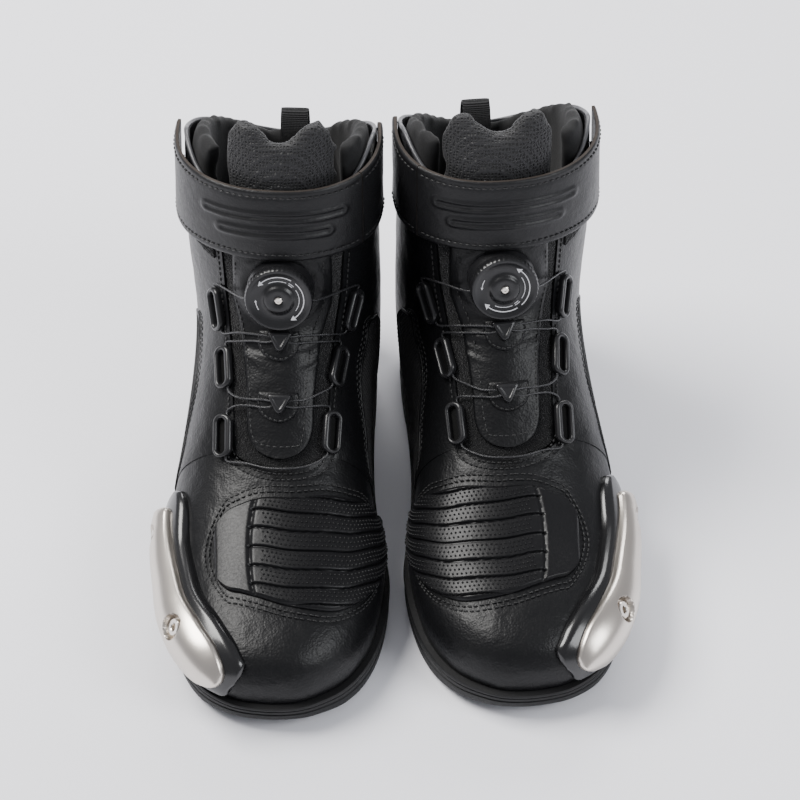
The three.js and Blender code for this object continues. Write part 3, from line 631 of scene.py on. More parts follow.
def pressed(points, lines, depth=.35, width=1.1):
    """How far each point sinks beside the seams: a soft groove along every line."""
    flat = points.reshape(-1, 3)
    sink = np.zeros(len(flat))
    for line in lines:
        for k in range(0, len(flat), 4000):
            d = np.linalg.norm(flat[k:k + 4000, None] - line[None, ::3], axis=2).min(1)
            sink[k:k + 4000] = np.maximum(sink[k:k + 4000], depth * np.exp(-(d / width) ** 2))
    return sink.reshape(points.shape[:-1])


# %% [markdown]
# ## Shift pad
# A rubber pad on the vamp takes the gear lever. Its ribs curve across the foot, with rows of small
# pimples between deep grooves, and a smooth lobe finishes its outer end. A fine grid over the
# form gets the ribs as real height, which a bump map could not show at the edge.

# %% Pad outline
PAD_MIDDLE = [(-37, 6.15), (-10, 6.15), (6, 6.05), (25, 6.15), (41, 6.35), (53, 6.7), (69, 7.3), (80, 8)]
PAD_HALF = [(-37, .3), (-34, .75), (-30, 1.0), (-19, 1.25), (6, 1.5), (41, 1.65), (60, 1.35),
            (74, .8), (80, .3)]
DIVIDER = -12.                   # degrees: where the ribs end and the smooth lobe starts
RIB_COUNT = 6
RIB_PITCH = .5                   # of the places along the boot
PAD_SKIN = 1.5
PAD_CROWN = 1.0


def pad_place(u, degrees):
    return curve_between(PAD_MIDDLE, degrees) + u * curve_between(PAD_HALF, degrees)


def pad_height(u, degrees):
    ribs = u * curve_between(PAD_HALF, degrees) / RIB_PITCH + RIB_COUNT / 2
    inside = np.abs(ribs - np.floor(ribs) - .5) * 2
    groove = np.clip((inside - .84) / .12, 0, 1)
    divider = DIVIDER - 3.5 * (1 - u * u)
    lobe = np.clip((divider - degrees) / 1.5, 0, 1)
    ridge = np.exp(-((degrees - divider) / 1.1) ** 2)
    first, last = PAD_MIDDLE[0][0], PAD_MIDDLE[-1][0]
    edge = (np.clip((1 - np.abs(u)) / .07, 0, 1) * np.clip((degrees - first) / 3, 0, 1)
            * np.clip((last - degrees) / 3, 0, 1))
    rounded = 1 - .35 * inside ** 4 * (1 - lobe)
    height = PAD_SKIN + PAD_CROWN * (rounded - groove * (1 - lobe)) * (1 - .3 * lobe) - 1.1 * ridge
    return height * np.sqrt(edge) + .15


pad_u, pad_degrees = np.meshgrid(np.linspace(-1, 1, 190), np.linspace(-37, 80, 170), indexing="ij")
pad_t = pad_place(pad_u, pad_degrees)
pad_outer = over(pad_t, rad(pad_degrees), pad_height(pad_u, pad_degrees))
pad_shape = slab(pad_outer, over(pad_t, rad(pad_degrees), -.5))
for side in SIDES:
    settle(put("shift_pad", *pad_shape, side, PAD_RUBBER, sharp=45), "shift_pad", "pad_rubber")
print("pad thickness, mm:", round(float(pad_height(pad_u, pad_degrees).max()), 1))

# %% Pad pimples
PIMPLE_RADIUS = .6
PIMPLE_HEIGHT = .6
PIMPLE_SIDES = 7
PIMPLE_PITCH = 2.2
PIMPLE_RINGS = ((0., 1.), (.55, .8), (1., .02))


def pimple(t, angle, lift):
    n = normal_at(t, angle)
    x = np.cross(n, [0, 1, 0])
    x /= np.linalg.norm(x)
    y = np.cross(n, x)
    spokes = [math.cos(a) * x + math.sin(a) * y for a in 2 * np.pi * np.arange(PIMPLE_SIDES) / PIMPLE_SIDES]
    centre = over(t, angle, lift)
    points = [centre + n * PIMPLE_HEIGHT * math.sqrt(h) + PIMPLE_RADIUS * r * spoke
              for h, r in PIMPLE_RINGS for spoke in spokes]
    return np.array(points), ring_faces(len(PIMPLE_RINGS), PIMPLE_SIDES)


pimples = []
for rib in range(-1, RIB_COUNT + 1):
    for row in (.26, .5, .74):
        offset = (rib + row - RIB_COUNT / 2) * RIB_PITCH
        line = np.linspace(DIVIDER + 2.5, 77, 300)
        path = over(curve_between(PAD_MIDDLE, line) + offset, rad(line))
        travelled = np.concatenate([[0], np.cumsum(np.linalg.norm(np.diff(path, axis=0), axis=1))])
        for s in np.arange(1.2 + PIMPLE_PITCH / 2 * (row == .5), travelled[-1] - 1, PIMPLE_PITCH):
            d = np.float64(np.interp(s, travelled, line))
            u = offset / curve_between(PAD_HALF, d)
            if abs(u) < .93:
                pimples.append(pimple(float(pad_place(u, d)), rad(d), float(pad_height(u, d)) - .1))
pimple_shape = joined(pimples)
for side in SIDES:
    settle(put("shift_pad_pimples", *pimple_shape, side, PAD_RUBBER, sharp=60), None, "pad_rubber")
print("pad pimples:", len(pimples))

# %% [markdown]
# ## Thread lines on the forefoot
# Two rows of thread run round the pad, and two more close the half-round patch under the throat.


# %% Sew the forefoot
def pad_outline(grow_degrees, grow_t):
    top = [(pad_place(1., d) + grow_t, rad(d)) for d in np.linspace(72, -31, 12)]
    end = [(6.15, rad(-37 - grow_degrees))]
    low = [(pad_place(-1., d) - grow_t, rad(d)) for d in np.linspace(-31, 70, 12)]
    return top + end + low


def under_throat(grow):
    """Round the throat's lower end, a little way off it."""
    turn = np.linspace(-1.45, 1.45, 15)
    return [(THROAT_ROUND_END - (1.2 + grow) * math.cos(a), angle_at(9.0, (23 + 15 * grow) * abs(math.sin(a)),
             1 if a > 0 else -1) if abs(a) > .01 else 0.) for a in turn]


forefoot = [stitch_line(pad_outline(3.2, .17), .45), stitch_line(pad_outline(6.4, .34), .3),
            stitch_line(under_throat(.16), .5, 2.7, 2.0), stitch_line(under_throat(.34), .3, 2.7, 2.0)]
sew("forefoot_stitches", forefoot)

# %% [markdown]
# ## Vamp and quarters
# The upper is cut leather: one vamp over the toes, two quarters up the sides, and a counter round
# the heel. Each panel is a grid between its own edges, pressed in along its seams and given a
# leather's thickness.

# %% Vamp
LEATHER_THICK = 2.4
UNDER_THROAT = .24               # the part of the vamp's seam that curves round the throat


def vamp_seam(w):
    """Where the vamp ends, by how far round it is from the middle (0) to the sole (1)."""
    half = np.minimum(np.abs(w) / UNDER_THROAT, 1)
    beside = np.clip((np.abs(w) - UNDER_THROAT) / (1 - UNDER_THROAT), 0, 1)
    return THROAT_ROUND_END - .2 - np.sqrt(1 - .96 * half ** 2) + .85 * beside


def wrinkles(points, strength):
    """Broad uneven swell of worn leather, and fine creases."""
    swell = [noise.noise(Vector(p) * .035) + noise.noise(Vector(p) * .11 + Vector((7, 0, 0))) * .3
             for p in points.reshape(-1, 3)]
    return strength * np.array(swell).reshape(points.shape[:-1])


def panel(t, angle, extra=0., swell=.35):
    """A leather panel's outer and inner faces on the form."""
    base = over(t, angle, 0.)
    height = extra + wrinkles(base, swell) - pressed(base, seams)
    return over(t, angle, height), over(t, angle, height - LEATHER_THICK)


a, w = np.meshgrid(np.linspace(0, 1, 140) ** 1.4, np.linspace(-1, 1, 170), indexing="ij")
vamp_t = .002 + (vamp_seam(w) - .002) * a
vamp_angle = np.where(w < 0, w * sole_angle(vamp_t, -1), w * sole_angle(vamp_t, 1))
vamp_shape = slab(*panel(vamp_t, vamp_angle))
for side in SIDES:
    settle(put("vamp", *vamp_shape, side, BLACK_LEATHER), "vamp", "leather")
print("vamp faces:", len(vamp_shape[1]))


# %% Quarters' edges
COUNTER_FRONT_T = 12.75
COUNTER_TOP_T = 17.6
UNDER_COUNTER = rad(14)


def counter_corner(side):
    return sole_angle(np.float64(COUNTER_FRONT_T), side)


def quarter_foot(t, side):
    """Where a quarter ends: at the sole, and then tucked a little way under the counter's edge."""
    reach = np.clip((COUNTER_TOP_T - t) / (COUNTER_TOP_T - COUNTER_FRONT_T), 0, 1) ** (1 / 2.4)
    tucked = np.pi - (np.pi - counter_corner(side)) * reach ** 1.2 + UNDER_COUNTER
    return np.minimum(sole_angle(t, side), np.minimum(tucked, np.pi))


def quarter_place(a, w, side):
    """Between the throat's edge (w 0) and the sole or back seam (w 1), from vamp (a 0) to collar (a 1)."""
    low = vamp_seam(UNDER_THROAT + (1 - UNDER_THROAT) * w) - .16
    high = collar_top(rad(35) + (np.pi - rad(35)) * w)
    t = low + (high - low) * a
    start = angle_at(t, throat_half(np.maximum(t, 9.25)) + .2, side)
    return t, start + (side * quarter_foot(t, side) - start) * w


def facing_line(side, inset, low=9.35, high=15.6):
    t = np.linspace(low, high, 14)
    return list(zip(t, angle_at(t, throat_half(t) + inset, side)))


QUARTER_LIFT = .9
PANEL_FRONT = [(9.4, 86), (9.7, 78), (10.6, 71), (11.3, 64), (12.7, 64.5), (13.6, 69), (14, 80)]
PANEL_BACK = [(9.4, 90), (10, 101), (11.5, 108), (13, 108), (14, 95)]


def panel_line(side, beyond):
    t = np.linspace(9.4, 14, 22)
    front = curve_between(PANEL_FRONT, t) - beyond
    return list(zip(t[1:-1], side * rad(front[1:-1])))


# %% Quarters
quarter_lines = [stitch_line(facing_line(side, 2.2), QUARTER_LIFT + .25) for side in (-1, 1)]
quarter_lines += [stitch_line(panel_line(side, beyond), .75) for side in (-1, 1) for beyond in (2.4, 5.)]
sew("quarter_stitches", quarter_lines)
a, w = np.meshgrid(np.linspace(0, 1, 130), np.linspace(0, 1, 110) ** 1.15, indexing="ij")
for sign, word in ((-1, "lateral"), (1, "medial")):
    t, angle = quarter_place(a, w, sign)
    low_on_sides = 1 - smoothstep(np.abs(angle), rad(40), rad(75)) * .6
    lift = .04 + QUARTER_LIFT * smoothstep(t, 8.9, 9.7) * low_on_sides
    quarter_shape = slab(*panel(t, angle, lift))
    for side in SIDES:
        settle(put(f"{word}_quarter", *quarter_shape, side, BLACK_LEATHER), f"{word}_quarter", "leather")
    print(word, "quarter faces:", len(quarter_shape[1]))

# %% [markdown]
# ## Heel counter
# A stiff moulded cup wraps the heel, thicker than the leather, with a rounded top edge. It is one
# more sheet on the form, bounded by the sole below and by an arch that comes down on both sides.

# %% Counter
s, h = np.meshgrid(np.linspace(-1, 1, 90), np.linspace(0, 1, 50), indexing="ij")
reach = np.abs(s)
low_t = HEEL_T - (HEEL_T - COUNTER_FRONT_T) * reach
low_angle = np.where(s < 0, sole_angle(low_t, -1), sole_angle(low_t, 1))
corner = np.where(s < 0, counter_corner(-1), counter_corner(1))
high_t = COUNTER_TOP_T - (COUNTER_TOP_T - COUNTER_FRONT_T) * reach ** 2.4
high_angle = np.pi - (np.pi - corner) * reach ** 1.2
counter_t = low_t + (high_t - low_t) * h
counter_angle = np.where(s < 0, -1, 1) * (low_angle + (high_angle - low_angle) * h)
edge = np.minimum(np.minimum((1 - h) / .06, 1), np.minimum((1 - reach) / .04, 1))
counter_outer = over(counter_t, counter_angle, .6 + 1.5 * np.sqrt(np.clip(edge, 0, 1)))
counter_shape = slab(counter_outer, over(counter_t, counter_angle, -1.))
for side in SIDES:
    settle(put("heel_counter", *counter_shape, side, SMOOTH_LEATHER), "heel_counter", "leather")
print("counter height, mm:", round(float(np.ptp(counter_outer[..., 2]))))

# %% [markdown]
# ## Sole
# The sole is one moulding: a side wall with two grooves, a ledge on top and cleats underneath. An
# outline pushed straight up would miss its toe spring and arch, so stations along the boot are
# lofted instead, each a closed ring from side to side. The cleats are bars set under it.

# %% Sole outline
GROUND = [(-20, 10), (0, 7.5), (14, 3.4), (28, .9), (42, 0), (148, 0), (156, 3), (198, 5), (206, 0),
          (276, 0), (290, 2), (320, 4)]
ground_y, ground_height = np.array(GROUND, float).T
TREAD_DEPTH = 2.6
WELT = 3.
SIDE_PROFILE = ((0, -1.6), (.08, -.5), (.2, 0), (.44, .1), (.48, -.6), (.52, -.6), (.56, .1),
                (.72, .1), (.75, -.5), (.79, -.5), (.82, .3), (.93, .5), (1., .1), (1., -2.6))


def outline_at(t, side, grow):
    p = form_point(t, side * sole_angle(t, side))
    low, high = np.maximum(t - .01, TOE_T + .002), np.minimum(t + .01, HEEL_T - .002)
    ahead = form_point(high, side * sole_angle(high, side)) - form_point(low, side * sole_angle(low, side))
    out = np.stack([ahead[..., 1], -ahead[..., 0]], -1) * side
    out /= np.linalg.norm(out, axis=-1, keepdims=True)
    return p[..., :2] + out * np.asarray(grow)[..., None]


def ground_at(y):
    return np.interp(y, ground_y, ground_height)


# %% Sole body
ACROSS_TOP, ACROSS_UNDER = 6, 10
stations = np.concatenate([TOE_T + .004 + (3 - TOE_T) * np.linspace(0, 1, 34) ** 2.2,
                           np.linspace(3.3, 13.4, 60),
                           HEEL_T - .004 - (HEEL_T - 13.5) * np.linspace(1, 0, 24) ** 2.2])
rings = []
for t in stations:
    ring = []
    for side in (-1, 1):
        wall = []
        for f, grow in SIDE_PROFILE:
            x, y = outline_at(np.float64(t), side, WELT + grow)
            low = ground_at(y) + TREAD_DEPTH * (f == 0)
            wall.append((x, y, low + (feather_z(y) - .2 - low) * f))
        ring.append(np.array(wall if side < 0 else wall[::-1]))
    left, right = ring
    across = np.linspace(left[-1], right[0], ACROSS_TOP + 1)[1:-1]
    under = np.linspace(right[-1], left[0], ACROSS_UNDER + 1)[1:-1]
    rings.append([*left, *across, *right, *under])
rings = np.array(rings)
rings[[0, -1], :, 0] = rings[[0, -1], :, 0].mean(1, keepdims=True)
n, m = rings.shape[:2]
points = rings.reshape(-1, 3)
faces = ring_faces(n, m)
caps = [tuple(range(m))[::-1], tuple((n - 1) * m + j for j in range(m))]
inside_out = outwards(points, np.array(faces))[1][0][0] != faces[0][0]
sole_shape = (points, [f[::-1] if inside_out else f for f in (*faces, *caps)])
print("sole length, mm:", round(float(np.ptp(points[:, 1]))))

# %% Sole cleats
CLEAT_PITCH = 12.5
CLEAT_GAP = 3.4
CLEAT_INSET = 4.
CLEAT_BOW = 5.
CLEAT_COLUMNS = 11


def cleat(y0, y1):
    """A bar across the sole between two places along it, bowed forwards in the middle."""
    f = np.linspace(0, 1, CLEAT_COLUMNS)[:, None]
    bars = []
    for y in (y0, y1):
        t = np.interp(y, sole_y, sole_t)
        left, right = (outline_at(np.float64(t), side, WELT - CLEAT_INSET) for side in (-1, 1))
        bars.append(left + (right - left) * f - np.array([0, CLEAT_BOW]) * (1 - (2 * f - 1) ** 2))
    bars = np.array(bars)
    ground = ground_at(bars[..., 1:])
    top = np.concatenate([bars, ground + TREAD_DEPTH + .6], -1)
    return slab(top, np.concatenate([bars, ground + .02], -1))


sole_t = np.linspace(.42, 14.68, 200)
sole_y = sum(outline_at(sole_t, side, np.zeros(200))[:, 1] for side in (-1, 1)) / 2
cleat_starts = (*np.arange(14, 140, CLEAT_PITCH), *np.arange(214, 272, CLEAT_PITCH))
cleats = [cleat(y, y + CLEAT_PITCH - CLEAT_GAP) for y in cleat_starts]
for side in SIDES:
    settle(put("outsole", *sole_shape, side, SOLE_RUBBER, sharp=50), "outsole", "rubber_sole")
    settle(put("sole_cleats", *joined(cleats), side, SOLE_RUBBER), None, "rubber_sole",
           ("BEVEL", {"width": .0006, "segments": 2}))
print("cleats:", len(cleats))

# %% [markdown]
# ## Toe slider
# A glossy plastic bed follows the outer edge of the toe, and a metal plate lies in it, held by two
# socket screws in deep seats. Both are sheets over the form that swell in the middle. Cutting the
# seats with a boolean would leave ragged faces, so the plate's own grid is pressed down there, and
# it is fine enough to keep the rims crisp.

# %% Slider shapes
BASE_UPPER = [(1.3, -44), (1.95, -27), (2.7, -26), (4.2, -34.5), (5.45, -47), (6.65, -54),
              (8.3, -56), (8.9, -63)]
PLATE_UPPER = [(1.75, -52), (2.3, -44), (3, -41), (4.1, -45.5), (5.6, -56.5), (7, -63.5), (8.35, -65)]
PLATE_START, PLATE_LENGTH = PLATE_UPPER[0][0], PLATE_UPPER[-1][0] - PLATE_UPPER[0][0]
BASE_LOW_Z = [(1.3, 20), (3, 19), (8, 19.5), (8.9, 25)]
PLATE_LOW_Z = [(1.75, 26), (2.6, 23.5), (5, 22), (7.8, 23), (8.35, 29)]
SCREWS = {"front": (4.3, -62.), "rear": (7.6, -78.)}
SEAT = 1.4                       # metal left under a screw's head
RECESS_RADIUS = 5.8


def slider_place(upper, low_z, u, v):
    t = upper[0][0] + (upper[-1][0] - upper[0][0]) * u
    narrow = np.sqrt(1 - .97 * np.clip(1 - np.minimum(u, 1 - u) / .05, 0, 1) ** 2)
    v = .5 + (v - .5) * narrow
    high = rad(curve_between(upper, t))
    low = solve(lambda x: form_point(t, x)[..., 2], high, -np.pi, np.interp(t, *np.array(low_z).T))
    return t, high + (low - high) * v


def crown(u):
    return np.sin(np.pi * np.clip(u, 0, 1))


def plate_under(u):
    return 2.6 + 4 * crown(.06 + .88 * u) ** .6 + .45


def rounded_edge(u, v, width):
    """1 inside, falling round to 0 at a sheet's edges."""
    near = np.minimum(np.minimum(u, 1 - u) / width[0], np.minimum(v, 1 - v) / width[1])
    near = np.clip(near, 0, 1)
    return np.sqrt(1 - (1 - near) ** 2)


# %% Slider base
u, v = np.meshgrid(np.linspace(0, 1, 240), np.linspace(0, 1, 100), indexing="ij")
t, angle = slider_place(BASE_UPPER, BASE_LOW_Z, u, v)
base_height = 2.6 + 4 * crown(u) ** .6 * (.45 + .55 * crown(v) ** .7)
base_height = base_height * rounded_edge(u, v, (.025, .12)) + .1
base_shape = slab(over(t, angle, base_height), over(t, angle, -.6))
for side in SIDES:
    settle(put("slider_base", *base_shape, side, GLOSS_BLACK, sharp=50), "slider_base", "gloss_base")
print("slider base thickness, mm:", round(float(base_height.max()), 1))

# %% Slider plate
t, angle = slider_place(PLATE_UPPER, PLATE_LOW_Z, u, v)
plate_rise = 1.8 + 4.8 * crown(v) ** .9 * crown(.15 + .62 * u) ** .8
sunk = np.zeros_like(u)
plate_flat = over(t, angle, plate_under(u) + plate_rise)
seats = {}
for word, (st, sd) in SCREWS.items():
    seats[word] = float(plate_under((st - PLATE_START) / PLATE_LENGTH)) + SEAT
    n = normal_at(np.float64(st), rad(sd))
    d = plate_flat - over(np.float64(st), rad(sd), seats[word])
    distance = np.linalg.norm(d - (d @ n)[..., None] * n, axis=-1)
    sunk = np.maximum(sunk, 1 - smoothstep(distance, RECESS_RADIUS, RECESS_RADIUS + .7))
plate_rise = plate_rise * rounded_edge(u, v, (.018, .06))
plate_height = plate_under(u) + plate_rise + sunk * (SEAT - plate_rise)
plate_shape = slab(over(t, angle, plate_height), over(t, angle, plate_under(u) - .9))
for side in SIDES:
    settle(put("slider_plate", *plate_shape, side, SATIN_METAL, sharp=50), "slider_plate", "slider_metal")
print("screw seats over the form, mm:", {word: round(height, 1) for word, height in seats.items()})


# %% [markdown]
# ## Turned pieces
# Screws, the dial and its spool are turned shapes. Stacked cylinders would need a boolean for each
# step, so a profile is drawn as a chain of edges and spun round its axis in edit mode, as on a
# lathe. Every rounding is then just one more point of the profile.

# %% Lathe
def spun(name, profile, axis_frame, side, material, body, steps=48, sharp=35):
    """Spins a profile of (radius, height) points about its frame's z axis."""
    bpy.ops.object.select_all(action="DESELECT")
    mesh = bpy.data.meshes.new(f"{side}_{name}_shown")
    mesh.from_pydata([(r, 0, h) for r, h in profile], [(k, k + 1) for k in range(len(profile) - 1)], [])
    piece = bpy.data.objects.new(mesh.name, mesh)
    bpy.context.collection.objects.link(piece)
    bpy.context.view_layer.objects.active = piece
    piece.select_set(True)
    bpy.ops.object.mode_set(mode="EDIT")
    bpy.ops.mesh.select_all(action="SELECT")
    bpy.ops.mesh.spin(steps=steps, angle=2 * math.pi, center=(0, 0, 0), axis=(0, 0, 1))
    bpy.ops.mesh.select_all(action="SELECT")
    bpy.ops.mesh.remove_doubles(threshold=.01)
    bpy.ops.mesh.normals_make_consistent(inside=False)
    bpy.ops.object.mode_set(mode="OBJECT")
    mesh.transform(PLACE[side] @ axis_frame)
    if side == "left":
        mesh.flip_normals()
    mesh.materials.append(material)
    smooth(piece, sharp)
    piece["rides"] = f"{side}_{body}"
    return piece


def frame_at(t, angle, lift, toward):
    z = Vector(normal_at(np.float64(t), np.float64(angle)))
    x = Vector(toward)
    x = (x - x.dot(z) * z).normalized()
    made = Matrix((x, z.cross(x), z)).transposed().to_4x4()
    made.translation = Vector(over(np.float64(t), np.float64(angle), lift))
    return made


# %% Slider screws
WASHER = [(2.3, -.2), (5, -.2), (5.3, .1), (5, .4), (2.3, .5), (2.3, -.2)]
SCREW_HEAD = [(0, -3), (2, -3), (2, .3), (4, .3), (4.3, .6), (4.3, 2.3), (3.9, 2.8), (2.2, 2.8), (1.8, 2.4),
              (1.8, -2), (0, -2.2)]
for side in SIDES:
    for word, (st, sd) in SCREWS.items():
        seat_frame = frame_at(st, rad(sd), seats[word], (0, -1, 0))
        washer = spun(f"slider_washer_{word}", WASHER, seat_frame, side, STEEL, "boot", 36)
        settle(washer, None, "screw_steel")
        screw = spun(f"slider_screw_{word}", SCREW_HEAD, seat_frame, side, STEEL, "boot", 36)
        settle(screw, f"slider_screw_{word}", "screw_steel")
print("screw head across, mm:", 2 * max(r for r, h in SCREW_HEAD))

# %% [markdown]
# ## Lacing dial
# The housing is moulded with a tab that is sewn under the leather. The knob has a raised rim with
# fine grips and a hub, and carries two plain arrows. All are spun, and the grips are then waved
# into the rim, which is quicker than cutting each. Knob and spool turn together on the dial.

# %% Dial profiles
dial_frame = Matrix((Vector((1, 0, 0)), Vector(dial_up), Vector(dial_axis))).transposed().to_4x4()
dial_frame.translation = Vector(dial_centre)
HOUSING = [(11.4, 4.2), (11.4, 7.4), (11.8, 7.7), (14.6, 7.7), (15.2, 7.2), (15.6, 4.5), (16.6, 2.6),
           (16.8, -3), (0, -3), (0, 4.2), (11.4, 4.2)]
KNOB = [(1.8, 8.2), (15.9, 8.2), (16.6, 8.6), (17, 9.4), (17, 12.2), (16.8, 13.1), (16.2, 13.75),
        (15.2, 13.9), (14.3, 13.5), (13.2, 13.0), (9.6, 12.6), (8.3, 12.7), (7.5, 13.2), (7.0, 13.9),
        (6.4, 14.3), (5.4, 14.5), (2.6, 14.4), (2.2, 14.2), (2.1, 12.9), (1.8, 12.9), (1.8, 8.2)]
SPOOL = [(1.8, 4.5), (10.8, 4.5), (10.8, 5.1), (8.4, 5.4), (8.4, 6.5), (10.8, 6.9), (10.8, 7.6),
         (1.8, 7.6), (1.8, 4.5)]
DIAL_SCREW = [(0, 4.8), (1.4, 4.8), (1.4, 13.4), (1.8, 13.4), (1.95, 13.7), (1.9, 14.1), (1.5, 14.4),
              (.8, 14.4), (.7, 14.1), (0, 14.0)]
GRIPS = 46
GRIP_DEPTH = .35
print("dial across, mm:", 2 * max(r for r, h in KNOB))


# %% Dial arrows
# A mark is (start and end in degrees, radius, width, size of its head).
MARKS = ((60, 132, 12.4, .5, 2.6), (48, -50, 12.4, .5, 2.6), (68, 118, 10.1, .3, .3), (34, -34, 10.1, .3, .3),
         (46, 60, 9.6, .35, .2), (45, 61, 10.5, .35, .2), (-150, -172, 11.4, .4, 1.2))
MARK_STEPS = 40
MARK_THICKNESS = .09


def arrow(start, end, radius, width, head):
    """A curved arrow on the knob's face, its head at the end angle."""
    turn = np.linspace(start, end, MARK_STEPS)
    places = [(r, a) for a in turn for r in (radius - width / 2, radius + width / 2)]
    places += [(radius - head * .55, end), (radius + head * .55, end),
               (radius, end + np.sign(end - start) * head / radius)]
    faces = [(2 * k, 2 * k + 1, 2 * k + 3, 2 * k + 2) for k in range(MARK_STEPS - 1)]
    faces.append(tuple(range(2 * MARK_STEPS, 2 * MARK_STEPS + 3)))
    return [(r * np.cos(a), r * np.sin(a)) for r, a in places], faces


def face_height(x, y):
    return np.interp(math.hypot(x, y), [9.6, 13.2, 14.3], [12.6, 13.0, 13.5]) + .06


def knob_marks(side):
    turned = 0 if side == "right" else 180
    shapes = []
    for start, end, *size in MARKS:
        points, faces = arrow(rad(turned + start), rad(turned + end), *size)
        both = [tuple(dial_frame @ Vector((x, y, face_height(x, y) + rise)))
                for rise in (0, MARK_THICKNESS) for x, y in points]
        backs = [f[::-1] for f in faces]
        shapes.append((np.array(both), backs + [tuple(i + len(points) for i in f) for f in faces]))
    return put("knob_arrows", *joined(shapes), side, PALE_PRINT, "dial")


# %% Dial pieces
for side in SIDES:
    housing = spun("dial_base", HOUSING, dial_frame, side, DIAL_PLASTIC, "tongue", 64)
    settle(housing, "dial_base", "dial_plastic")
    bpy.ops.object.select_all(action="DESELECT")
    bpy.ops.mesh.primitive_cube_add(size=1)
    tab = bpy.context.object
    tab.name = f"{side}_dial_tab_shown"
    away = PLACE[side] @ dial_frame
    tab.data.transform(away @ Matrix.Translation((0, -15.5, 1.6)) @ Matrix.Diagonal((10.5, 9, 9, 1)))
    if side == "left":
        tab.data.flip_normals()
    tab.data.materials.append(DIAL_PLASTIC)
    tab["rides"] = f"{side}_tongue"
    smooth(tab)
    settle(tab, None, "dial_plastic", ("BEVEL", {"width": .0016, "segments": 4}))
    knob = spun("dial_knob", KNOB, dial_frame, side, DIAL_PLASTIC, "dial", 4 * GRIPS)
    for vertex in knob.data.vertices:
        p = away.inverted() @ vertex.co
        radius = math.hypot(p.x, p.y)
        if radius > 16.3 and p.z < 13.4:
            dip = GRIP_DEPTH * (.5 + .5 * math.cos(GRIPS * math.atan2(p.y, p.x)))
            p.x, p.y = p.x * (radius - dip) / radius, p.y * (radius - dip) / radius
            vertex.co = away @ p
    settle(knob, "dial_knob", "dial_plastic")
    spool = spun("dial_spool", SPOOL, dial_frame, side, GUIDE_PLASTIC, "dial", 40)
    settle(spool, "dial_spool", "dial_plastic")
    settle(spun("dial_screw", DIAL_SCREW, dial_frame, side, STEEL, "tongue", 32), "dial_screw", "screw_steel")
    settle(knob_marks(side), None, "dial_plastic")
print("grips on the knob:", GRIPS)

# %% [markdown]
# ## Wire guides and keepers
# A guide is an oblong moulded ring with a slot, sewn to the facing, and the wire runs under its
# wider lip. A torus would have round ends only, so one section is carried round an oblong, and the
# six copies are turned to lie on the leather. A keeper is a small triangular block that stands in
# a stitched leather pocket, built as narrowing rings with a dip on top.

# %% Guides
GUIDES = {
    "lateral_top": ((12.35, -37.5), (14.2, -43)), "lateral_middle": ((10.45, -30.5), (11.75, -34.5)),
    "lateral_low": ((8.95, -29.5), (9.97, -31)), "medial_top": ((12.65, 43), (14.4, 50)),
    "medial_middle": ((10.7, 35.5), (12, 42)), "medial_low": ((9.1, 31), (10.2, 35))}
GUIDE_LENGTH, GUIDE_WIDTH, GUIDE_LIFT = 22., 9., 1.4
WIRE_OFFSET, WIRE_HEIGHT = 2.9, .9


def guide_frame(ends):
    (t0, d0), (t1, d1) = ends
    low, high = (Vector(form_point(np.float64(t), rad(d))) for t, d in ends)
    y = (high - low).normalized()
    middle = (np.float64((t0 + t1) / 2), rad((d0 + d1) / 2))
    z = Vector(normal_at(*middle))
    z = (z - z.dot(y) * y).normalized()
    x = y.cross(z) * (-1 if d0 > 0 else 1)
    made = Matrix((x, y, z)).transposed().to_4x4()
    made.translation = Vector(over(*middle, GUIDE_LIFT))
    return made


GUIDE_FRAMES = {name: guide_frame(ends) for name, ends in GUIDES.items()}
RING_SECTION = ((2.2, .2), (2.3, 2.6), (2.8, 3.3), (3.5, 3.5), (4.2, 3.2), (4.6, 2.4), (4.6, 1.6), (4.4, .2))
OBLONG_STEPS = 48
LIP_GROWTH = 1.3                 # the lip over the wire is wider than the far side of the ring


def oblong(half_width, height):
    """Outline of an oblong whose half width is given and whose straight part stays the same."""
    straight = (GUIDE_LENGTH - GUIDE_WIDTH) / 2
    turn = 2 * np.pi * (np.arange(OBLONG_STEPS) + .5) / OBLONG_STEPS
    y = half_width * np.sin(turn) + straight * np.sign(np.sin(turn))
    return np.column_stack([half_width * np.cos(turn), y, np.full(OBLONG_STEPS, height)])


def guide_shape():
    loops = [oblong(w, h) for w, h in RING_SECTION]
    for loop, (half, _) in zip(loops, RING_SECTION):
        loop[:, 0] *= np.where(loop[:, 0] > 0, 1 + (LIP_GROWTH - 1) * min(max(half - 2.3, 0), 1), 1)
    faces = ring_faces(len(loops), OBLONG_STEPS, closed=True)
    points, faces = outwards(np.concatenate(loops), np.array(faces))
    n = OBLONG_STEPS
    # The plate under the ring's opening is the slot's floor, painted near-black as shade.
    plate = np.concatenate([oblong(3.9, .35), oblong(3.9, -1.2)])
    walls = [(j, j + n, (j + 1) % n + n, (j + 1) % n) for j in range(n)]
    return (points, faces.tolist()), (plate, [tuple(range(n)), tuple(range(2 * n - 1, n - 1, -1)), *walls])


def recentred(shape, placing):
    """A shape in its own frame, as boot millimetres; a mirrored frame has its faces turned round."""
    points, faces = shape
    moved = np.array([tuple(placing @ Vector(p)) for p in points])
    if placing.to_3x3().determinant() < 0:
        faces = [tuple(reversed(f)) for f in faces]
    return moved, faces


ring_shape, slot_shade_plate_shape = guide_shape()
for side in SIDES:
    for name, placing in GUIDE_FRAMES.items():
        ring = put(f"guide_{name}", *recentred(ring_shape, placing), side, GUIDE_PLASTIC, sharp=50)
        settle(ring, f"guide_{name}", "dial_plastic")
        # The slot's floor is painted shade.
        back = put(f"guide_slot_{name}", *recentred(slot_shade_plate_shape, placing), side, PAINTED_SLOT_SHADE)
        settle(back, None, "dial_plastic")
print("guides in a boot:", len(GUIDE_FRAMES))

